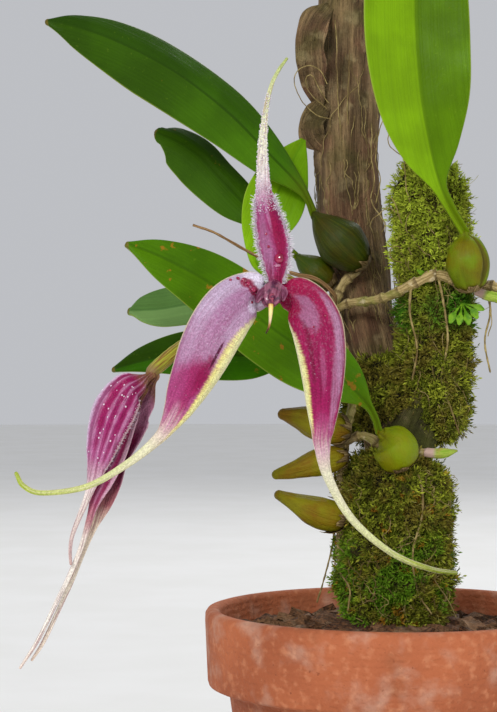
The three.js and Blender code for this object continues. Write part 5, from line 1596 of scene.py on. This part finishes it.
def margin_strip(made, low, high, columns):
    """The part of a blade's skin near its margin, from one mm along to another, as ground for hairs."""
    rings, marks = made
    around = rings.shape[1]
    first, last = np.searchsorted(marks["along"][:, 0], (low, high))
    picked = rings[first:last][:, [c % around for c in columns]]
    count, wide = picked.shape[:2]
    faces = []
    for i in range(count - 1):
        for k in range(wide - 1):
            a = i * wide + k
            faces.append((a, a + 1, a + wide + 1, a + wide))
    points = picked.reshape(-1, 3)
    middle = rings[first:last].mean(1)
    outward = points[0] - middle[0]
    corner = np.cross(points[1] - points[0], points[wide] - points[0])
    if corner.dot(outward) < 0:
        faces = [f[::-1] for f in faces]
    return mesh_of("margin", points, faces, {"cover": np.ones(len(points))})


white_hair, tree = new_finish("white_hair")
pale = mixed(tree, rise(tree, mark(tree, "shade"), 0, 1), "#d9c6d8", "#faf6fa")
surface(tree, pale, 0.45)
hairs = kinds_of("hairs", [hair(0.95, 0.1), hair(1.4, 0.085), hair(0.6, 0.11)])
HAIR_COLUMNS = {"left": range(21, 28), "right": range(-3, 4)}
for side, columns in HAIR_COLUMNS.items():
    grown(
        margin_strip(dorsal, -0.5, 21, columns), f"dorsal_fringe_{side}", PLANTING, "sepal", Kinds=hairs,
        Density=3.2e7, Least=0.55, Most=1.15, Lean=0.5, Reach=(0.0, -0.3, 0.1), Seed=4, Finish=white_hair,
    )
beads = kinds_of("beads", [hair(0.34, 0.13), hair(0.26, 0.16)])
grown(
    margin_strip(dorsal, 17, 46, range(0, 49)), "dorsal_neck_frost", PLANTING, "sepal", Kinds=beads,
    Density=7.0e6, Least=0.6, Most=1.1, Lean=0.5, Reach=(0.0, 0.0, 0.2), Seed=6, Finish=white_hair,
)

# Column, petals and lip
# The small works at the middle: the waxy column with its hollow stigma, two short strap petals beside it,
# and the slim cream lip that hangs from its foot and ends in a brown hook.
COLUMN = [
    (-32.3, -41.6, 170.2, 1.2), (-32.3, -43, 170.5, 1.8), (-32.5, -44.8, 170.1, 2.35),
    (-32.8, -46.4, 169.2, 2.6), (-33, -47.8, 168, 2.4), (-33.2, -48.8, 166.8, 1.8),
    (-33.3, -49.2, 166.2, 1.2),
]
PETALS = {
    "petal_left": [(-34.3, -47, 170.2, 0.7), (-35.4, -48.8, 168.8, 1.1), (-36.4, -50, 167, 0.5)],
    "petal_right": [(-30.6, -46.6, 170.6, 0.6), (-30, -48.4, 169.2, 0.95), (-30.2, -49.6, 167.4, 0.4)],
}
LIP = [
    (-33.15, -49.4, 166.4, 0.66), (-33.25, -50.2, 163.9, 0.5), (-33.45, -50.2, 161.8, 0.3),
    (-33.8, -49.8, 160.5, 0.28), (-34.3, -49.3, 159.5, 0.2),
]


def column_form(skin, share, turn):
    """The two low wings of the column, which grow towards its end."""
    wings = 0.28 * np.cos(2 * turn) * np.clip(share * 1.6 - 0.4, 0, 1)
    return wings + 0.12 * np.cos(6 * turn) * share + 0.1 * unevenness(skin, 1.1, 2)


column_skin, tree = new_finish("column_skin")
waxy = mixed(tree, streaks(tree, 0.7, 3.4, 0.4, 0.6, 1), "#6e2440", "#98566e")
smoky = mixed(tree, blotches(tree, 2, 0.44, 0.6, 2), waxy, "#3c1a34", 0.8)
creamy = mixed(tree, blotches(tree, 1.3, 0.64, 0.7, 5), smoky, "#bc98a4", 0.5)
lumps = raised(tree, blotches(tree, 0.9, 0.3, 0.7, 3), 0.12)
surface(tree, creamy, 0.25, lumps, coat=(0.4, 0.1))
rings, marks = stem(COLUMN, 48, 60, column_form, round_end=False)
hollow = rings[-1].mean(0)
tip_way = unit(hollow - rings[-4].mean(0))
steps_in = [(1.0, 0.16), (0.8, 0.2), (0.62, 0.05), (0.5, -0.35), (0.3, -0.6)]
inside = np.array([hollow + (rings[-1] - hollow) * wide + tip_way * deep for wide, deep in steps_in])
rings = np.concatenate([rings, inside])
for title, value in marks.items():
    marks[title] = np.concatenate([value, np.repeat(value[-1:], len(steps_in), 0)])
piece("column_waxy", (rings, marks), column_skin, "column", ["flower_column"])

pit_skin, tree = new_finish("stigma")
surface(tree, mixed(tree, blotches(tree, 0.6, 0.4, 0.6, 1), "#2a0c1e", "#5a2440"), 0.12)
pit_rows = [(*(hollow + tip_way * deep), wide) for deep, wide in ((-0.7, 0.3), (-0.4, 0.38), (-0.15, 0.3))]
piece("stigma_drop", stem(pit_rows, 20, 12), pit_skin, "column")


def lobed(skin, share, turn):
    """The four soft lobes of the anther cap."""
    return 0.08 * np.cos(4 * turn)


cap_rows = [(-33, -49.1, 168.6, 0.5), (-33, -50, 168, 0.9), (-33, -50.3, 167.1, 0.5)]
cap_skin, tree = new_finish("anther_cap")
surface(tree, mixed(tree, blotches(tree, 0.9, 0.42, 0.6, 4), "#5a1c3c", "#a04a5c"), 0.2)
piece("anther_cap", stem(cap_rows, 24, 20, lobed), cap_skin, "column")

petal_skin, tree = new_finish("petal_skin")
mauve = mixed(tree, streaks(tree, 0.5, 3, 0.42, 0.62, 1), "#5c1638", "#8e4a68")
lumps = raised(tree, blotches(tree, 0.8, 0.3, 0.7, 3), 0.06)
surface(tree, mauve, 0.15, lumps, coat=(0.6, 0.06))


def lined_along(travelled, across, front, off):
    """Faint lines along a petal."""
    return 0.03 * np.cos(6 * across)


for name, rows in PETALS.items():
    strap = blade(rows, FRONT, bulging(0.2), even(0.32), 40, 24, lined_along)
    piece(name + "_strap", strap, petal_skin, "column", [name])

lip_skin, tree = new_finish("lip_skin")
ends = graded(tree, sums(tree, "DIVIDE", way_along(tree), 7.6), [
    (0.0, "#c8803a"), (0.1, "#e8c860"), (0.35, "#efdc92"), (0.55, "#eccfa8"), (0.68, "#b07c44"),
    (0.8, "#5c3a16"), (1.0, "#2c2410"),
])
lines = raised(tree, streaks(tree, 0.2, 2, 0.3, 0.7, 3), 0.06)
surface(tree, ends, 0.35, lines, coat=(0.2, 0.2))


def channelled(skin, share, turn):
    """The channel along the front of the lip."""
    return -0.12 * np.exp(-((turn - 0.4) / 0.5) ** 2) + 0.03 * np.cos(2 * turn)


piece("lip_slender", stem(LIP, 24, 60, channelled), lip_skin, "lip", ["flower_lip"])

# Nectar drops
# Drops of clear sticky nectar that the flower sweats out. They stand low and round on the sepals near
# the column, and show the wine red of the skin under them.
DROP_SIDES = 12
DROP_LAYERS = [(-0.12, 0.86), (0.12, 1), (0.34, 0.86), (0.5, 0.55)]
drop_skin, tree = new_finish("nectar")
wine = mixed(tree, blotches(tree, 1.5, 0.4, 0.6, 1), "#7a0630", "#a01248")
surface(tree, wine, 0.05, gloss=0.5, coat=(0.6, 0.03))


def drops_on(name, made, spots, finish):
    """Low round drops on the front of a blade, each at its share across and its mm along."""
    rings, marks = made
    points, faces = [], []
    for across, along, size in spots:
        away = (marks["across"] - across) ** 2 * 4 + (marks["along"] - along) ** 2
        away = away + 99 * (marks["front"] < 0.05)
        i, k = np.unravel_index(np.argmin(away), away.shape)
        at = rings[i, k]
        up = unit(np.cross(rings[i + 1, k] - at, rings[i, k - 1] - at))
        up = up if up[1] < 0 else -up
        side = unit(np.cross(up, (0.3, 0.1, 0.9)))
        third = np.cross(up, side)
        start = len(points)
        for lift, wide in DROP_LAYERS:
            for j in range(DROP_SIDES):
                turn = 2 * math.pi * j / DROP_SIDES
                out = math.cos(turn) * side + math.sin(turn) * third
                points.append(at + size * (up * lift + wide * out))
        points += [at - up * 0.12 * size, at + up * 0.58 * size]
        last = start + DROP_SIDES * (len(DROP_LAYERS) - 1)
        for ring in range(start, last, DROP_SIDES):
            for j in range(DROP_SIDES):
                a, b = ring + j, ring + (j + 1) % DROP_SIDES
                faces.append((a, b, b + DROP_SIDES, a + DROP_SIDES))
        for j in range(DROP_SIDES):
            after = (j + 1) % DROP_SIDES
            faces.append((last + DROP_SIDES, start + after, start + j))
            faces.append((last + DROP_SIDES + 1, last + j, last + after))
    return show(mesh_of(name, points, faces), name, finish)


left_drops = [
    (0.86, 6.6, 0.4), (0.8, 5.2, 0.5), (0.62, 4.3, 0.75), (0.4, 3.9, 0.6), (0.08, 3.4, 0.75),
    (-0.2, 2.3, 0.7), (-0.3, 5.4, 0.4),
]
drops_on("drops_on_dorsal", dorsal, [(0.22, 5.4, 1.35), (-0.35, 8.6, 0.4), (-0.4, 12, 0.35)], drop_skin)
drops_on("drops_on_left", left_sepal, left_drops, drop_skin)
drops_on("drops_on_right", right_sepal, [(0.1, 14, 0.3), (-0.4, 12, 0.35), (-0.05, 15.4, 0.25)], drop_skin)

# Bud
# A flower about to open: its cupped dorsal sepal with five pale ridges lies over the two lateral ones,
# whose tails hang side by side. White hairs show along the gap between them.
BUD_STALK = [
    (-62.9, -33.1, 149.4, 1.1), (-62, -32.5, 150.4, 1.6), (-60.2, -30.9, 152, 1.8),
    (-57.3, -28, 154.6, 1.75), (-54, -22.6, 157.6, 1.35), (-49.6, -12.4, 161, 1), (-41.6, -8.6, 162.8, 0.9),
    (-31.4, -6, 162.4, 0.9), (-21, -2.6, 159.8, 0.9), (-15.4, 1.6, 157, 0.85), (-12.2, 5.8, 153.6, 0.85),
]
# The way each sepal faces, how far its edges curve forwards, its ridges, and its rows of x, y, z and half
# width, left and right where they differ.
BUD_SEPALS = {
    "bud_sepal_dorsal": ((-0.45, -1, 0.1), -0.55, 5, [
        (-62.4, -33.6, 150, 1.3), (-63.5, -34.7, 149, 1.1), (-65.2, -36.4, 148.1, 2.7, 3.5),
        (-67.9, -38, 146.6, 4, 5.8), (-70, -38.8, 143.9, 4.8, 7.3), (-71.9, -39.3, 140.2, 5, 7.9),
        (-73.5, -39.4, 135.8, 4.4, 7), (-74.9, -39.3, 130.4, 3.3, 5.3), (-76.1, -38.6, 125.8, 2.1, 2.9),
        (-77.3, -38, 121.6, 1.2), (-78.5, -37.8, 118.2, 0.85), (-80.2, -37.8, 114, 0.6),
        (-81.6, -37.9, 110, 0.48), (-82, -38.1, 106.6, 0.4), (-81.8, -38.3, 103.4, 0.32),
    ]),
    "bud_sepal_lateral_left": ((0, -1, 0), -0.25, 2, [
        (-63.6, -33.8, 145.8, 0.6), (-65.2, -34.2, 143.2, 0.8), (-67, -34.6, 140, 1.8),
        (-68.5, -34.8, 136.6, 2.2), (-70.2, -34.9, 131.7, 2.4), (-71.9, -35, 127.6, 2.5),
        (-74, -35.2, 123.2, 2.3), (-75.3, -35.6, 120.5, 1.85), (-76.5, -35.8, 117.1, 1.15),
        (-77.4, -36, 113.9, 0.85), (-79.5, -36.4, 106.9, 0.65), (-82.7, -36.8, 99.3, 0.6),
        (-85.1, -37.2, 94.5, 0.56), (-89.8, -38, 84.8, 0.5), (-94, -38.8, 78.2, 0.32),
    ]),
    "bud_sepal_lateral_right": ((0.2, -1, 0), 0.7, 4, [
        (-61.3, -32.2, 149.2, 1), (-62.2, -31.6, 147.9, 1.2), (-64.6, -29.8, 145.2, 4.4, 2.6),
        (-67.6, -29, 142.7, 6.4, 3.8), (-69.9, -29, 139.9, 6.8, 4.6), (-71.4, -29.1, 135.7, 6.3, 5),
        (-72.8, -29.5, 131, 5.3, 4.9), (-73.5, -30.2, 127, 4.45), (-73.9, -31, 122.9, 3.8),
        (-74.8, -32.1, 118.5, 2.9), (-75.7, -33, 115.1, 1.9), (-76.6, -33.6, 112.2, 1),
        (-78.8, -34.4, 106.7, 0.65), (-81.8, -34.9, 99.1, 0.6), (-84, -35.3, 94.2, 0.56),
        (-88.5, -36, 84.5, 0.5), (-91.4, -36.6, 79.8, 0.32),
    ]),
}

bud_stalk_skin, tree = new_finish("bud_stalk_skin")
yellowed = mixed(tree, streaks(tree, 0.5, 8, 0.38, 0.62, 1), "#8f8f22", "#b3ac3a")
striped = mixed(tree, streaks(tree, 0.42, 14, 0.5, 0.6, 3), yellowed, "#7a3c1c", 0.85)
capped = mixed(tree, rise(tree, way_along(tree), 3.2, 0.6, 0, 0.8), striped, "#8a6a4a")
surface(tree, capped, 0.5, raised(tree, streaks(tree, 0.35, 8, 0.3, 0.7, 3), 0.12))
piece("bud_stalk_fluted", stem(BUD_STALK, 28, 160, fluted), bud_stalk_skin, "stalk", ["bud_stalk"])


def ridged(count, high, seed):
    """Rounded ridges along the sepal that run together towards both its ends."""
    def relief(travelled, across, front, off):
        body = np.clip(travelled / 5, 0, 1) * np.clip((36 - travelled) / 12, 0, 1)
        ridges = high * np.cos(math.pi * count * across) * body
        places = np.stack([off, travelled, front], -1)
        return ridges + 0.16 * unevenness(places, 2.6, seed) * body + 0.03 * unevenness(places, 0.9, seed)
    return relief


def bud_finish(name, seed, stops, pale, layers):
    """Mauve with pale ridges, deep red furrows partly painted as shade, a brown foot, and a pale line round
    its edge.
    """
    made, tree = new_finish(name)
    along, across = mark(tree, "along"), mark(tree, "across")
    ground = graded(tree, sums(tree, "DIVIDE", along, 84.0), stops)
    ridge_top = rise(tree, mark(tree, "lift"), -0.05, 0.3)
    ridge_reach = rise(tree, along, 40, 28)
    ridged_over = mixed(tree, times(tree, ridge_top, ridge_reach), ground, "#d09cc0", pale)
    # The furrows' deep red is partly the sepal's own colour and partly painted shade where the relief sinks.
    deep = times(tree, rise(tree, mark(tree, "lift"), 0.0, -0.3), ridge_reach)
    furrow_shaded = mixed(tree, deep, ridged_over, "#860a48", 0.7)
    lined = mixed(tree, streaks(tree, 0.3, 9, 0.48, 0.6, seed), furrow_shaded, "#7c1448", 0.5)
    painted = over(tree, lined, layers)
    uneven = rise(tree, blotches(tree, 1.2, 0.3, 0.7, 3), 0, 1, 0.5, 1)
    brown = times(tree, rise(tree, along, 4.2, 0.6), uneven)
    based = mixed(tree, brown, painted, "#8a6440")
    margin = times(tree, rise(tree, sums(tree, "ABSOLUTE", across), 0.93, 0.99), rise(tree, along, 2, 6))
    outlined = mixed(tree, margin, based, "#e6c8cc", 0.65)
    sepal_skin(tree, outlined, patch(tree, 0.0, 10, 0.5, 8, 0.5), seed)
    return made


# For each: its seed, its colours from foot to tip, how pale its ridges are, and its patches.
BUD_FINISHES = {
    "bud_sepal_dorsal": (21, [
        (0.0, "#6c2438"), (0.06, "#96245e"), (0.2, "#9e2a6c"), (0.3, "#b05a8c"), (0.36, "#d6b4c0"),
        (0.42, "#ecdfd6"), (0.58, "#e4ccc4"), (0.66, "#bc9082"), (1.0, "#845444"),
    ], 0.55, [
        ((0.95, 14, 0.24, 16, 0.35), 0.9, "#dcc6dc"), ((0.2, 8, 0.2, 9, 0.4), 0.5, "#980e50"),
        ((0.62, 16, 0.14, 9, 0.4), 0.45, "#a87098"),
    ]),
    "bud_sepal_lateral_left": (22, [
        (0.0, "#5a1834"), (0.12, "#7c1840"), (0.24, "#8e2a58"), (0.33, "#984462"), (0.39, "#c0888c"),
        (0.44, "#ece0d4"), (0.7, "#f4eee2"), (0.93, "#ecd4c4"), (1.0, "#7a4a2c"),
    ], 0.35, [
        # The second patch on the next line is a painted shadow, cast by the edge of the dorsal sepal.
        ((-0.9, 16, 0.3, 14, 0.4), 0.8, "#d4a8bc"), ((0.5, 10, 0.6, 10, 0.4), 0.7, "#4c0826"),
    ]),
    "bud_sepal_lateral_right": (23, [
        (0.0, "#7a5c48"), (0.08, "#9c5a76"), (0.2, "#8c345a"), (0.34, "#743044"), (0.41, "#a06464"),
        (0.47, "#dccab4"), (0.75, "#eee6d4"), (0.94, "#e4ccb8"), (1.0, "#74462a"),
    ], 0.45, [
        ((-0.5, 7, 0.6, 8, 0.4), 0.7, "#c486a4"), ((0.6, 7, 0.4, 7, 0.4), 0.5, "#b0648a"),
        ((0.2, 22, 0.5, 12, 0.4), 0.5, "#6c2430"),
    ]),
}
bud_blades = {}
for name, (face, curve, count, rows) in BUD_SEPALS.items():
    made = blade(rows, face, hollowed(curve), sepal_half, 130, 56, ridged(count, 0.3, 3 + count))
    made = with_inner(made, 1, 3.2)
    bud_blades[name] = made
    piece(name + "_ridged", made, bud_finish(name + "_skin", *BUD_FINISHES[name]), "sepal", [name])

gap_strip = margin_strip(bud_blades["bud_sepal_dorsal"], 4, 28, range(24, 33))
grown(
    gap_strip, "bud_fringe", PLANTING, "sepal", Kinds=hairs, Density=6e6, Least=0.3, Most=0.65, Lean=0.6,
    Reach=(0.6, -0.3, 0.0), Seed=9, Finish=white_hair,
)
DEW_DROPS = 34
dew_skin, tree = new_finish("dew")
# Painted highlights: the dew is coloured near white, as the sparkle of light on the drops.
clear = mixed(tree, blotches(tree, 1, 0.4, 0.6, 1), "#e8cfe2", "#f6eef6")
surface(tree, clear, 0.05, gloss=0.8, coat=(1.0, 0.03))
chance = random.Random(8)
dew = []
for _ in range(DEW_DROPS):
    dew.append((chance.uniform(-0.7, 0.85), chance.uniform(5, 27), chance.uniform(0.14, 0.26)))
drops_on("dew_on_bud", bud_blades["bud_sepal_dorsal"], dew, dew_skin)

# Spent stalk
# The stalk of an earlier flower, left on the rhizome. It has dried brown and hard and shrivelled to a
# crooked wire.
DRY_STALK = [
    (-53, -4, 188.1, 0.35), (-47.2, -3, 186.1, 0.4), (-39.4, -1, 181.8, 0.42), (-28, 2.6, 176.2, 0.45),
    (-20.6, 5, 174.4, 0.5), (-15.8, 8.4, 170.6, 0.5), (-15.2, 10.6, 168.2, 0.5),
]


def shrivelled(skin, share, turn):
    """Creases of a stem that lost its water."""
    return 0.1 * unevenness(skin * (1, 1, 0.4), 0.7, 3) + 0.08 * np.sin(2 * turn + 5 * share)


dry_skin, tree = new_finish("dry_skin")
tan = mixed(tree, streaks(tree, 0.2, 5, 0.36, 0.64, 1), "#6d4a2a", "#a98558")
surface(tree, tan, 0.8, raised(tree, streaks(tree, 0.18, 4, 0.3, 0.7, 2), 0.1))
piece("spent_stalk_dry", stem(DRY_STALK, 16, 150, shrivelled), dry_skin, "dry_stalk", ["spent_stalk"])

# Studio
# A plain pale floor, three large soft lamps and a pale room. The camera stands level, about half a
# metre in front of the flower, with a long lens whose picture is as high as the photograph.
CAMERA_PLACE = (-38.5, -525, 154)
PHOTO_HEIGHT = 712
FOCAL_PIXELS = 2000
SENSOR_HEIGHT = 36
FLOOR_PROFILE = [(0.001, 0), (400, 0), (1500, 0), (4000, 0)]
lens = bpy.data.cameras.new("camera")
lens.sensor_fit = "VERTICAL"
lens.sensor_height = SENSOR_HEIGHT
lens.lens = FOCAL_PIXELS * SENSOR_HEIGHT / PHOTO_HEIGHT
lens.clip_start = 0.01
camera = bpy.data.objects.new("camera", lens)
camera.location = Vector(CAMERA_PLACE) * MM
camera.rotation_euler = (math.pi / 2, 0, 0)
bpy.context.collection.objects.link(camera)
bpy.context.scene.camera = camera


def lamp(name, place, aim, size, power):
    """A large soft light that faces the plant."""
    light = bpy.data.lights.new(name, "AREA")
    light.shape = "DISK"
    light.size = size
    light.energy = power
    made = bpy.data.objects.new(name, light)
    made.location = place
    made.rotation_euler = (Vector(aim) - Vector(place)).to_track_quat("-Z", "Y").to_euler()
    bpy.context.collection.objects.link(made)


lamp("key_light", (-0.5, -1.25, 0.85), (-0.02, 0, 0.15), 0.5, 12.5)
lamp("fill_light", (1.2, -0.9, 0.5), (0, 0, 0.15), 1.0, 4)
lamp("back_light", (0.3, 1.2, 1.1), (0, 0, 0.15), 0.8, 6)

world = bpy.data.worlds.new("studio")
world.use_nodes = True
backdrop = world.node_tree.nodes["Background"]
backdrop.inputs[0].default_value = (0.93, 0.95, 1, 1)
backdrop.inputs[1].default_value = 0.55
bpy.context.scene.world = world
bpy.context.scene.view_settings.view_transform = "Standard"

paper, tree = new_finish("pale_paper")
tone = mixed(tree, blotches(tree, 60, 0.3, 0.7, 1), "#f6f5f2", "#f2f1ed")
surface(tree, tone, 0.9)
floor_mesh = flat_disc("floor", FLOOR_PROFILE, 96)
floor_mesh.materials.append(paper)
floor = bpy.data.objects.new("studio_floor", floor_mesh)
bpy.context.collection.objects.link(floor)
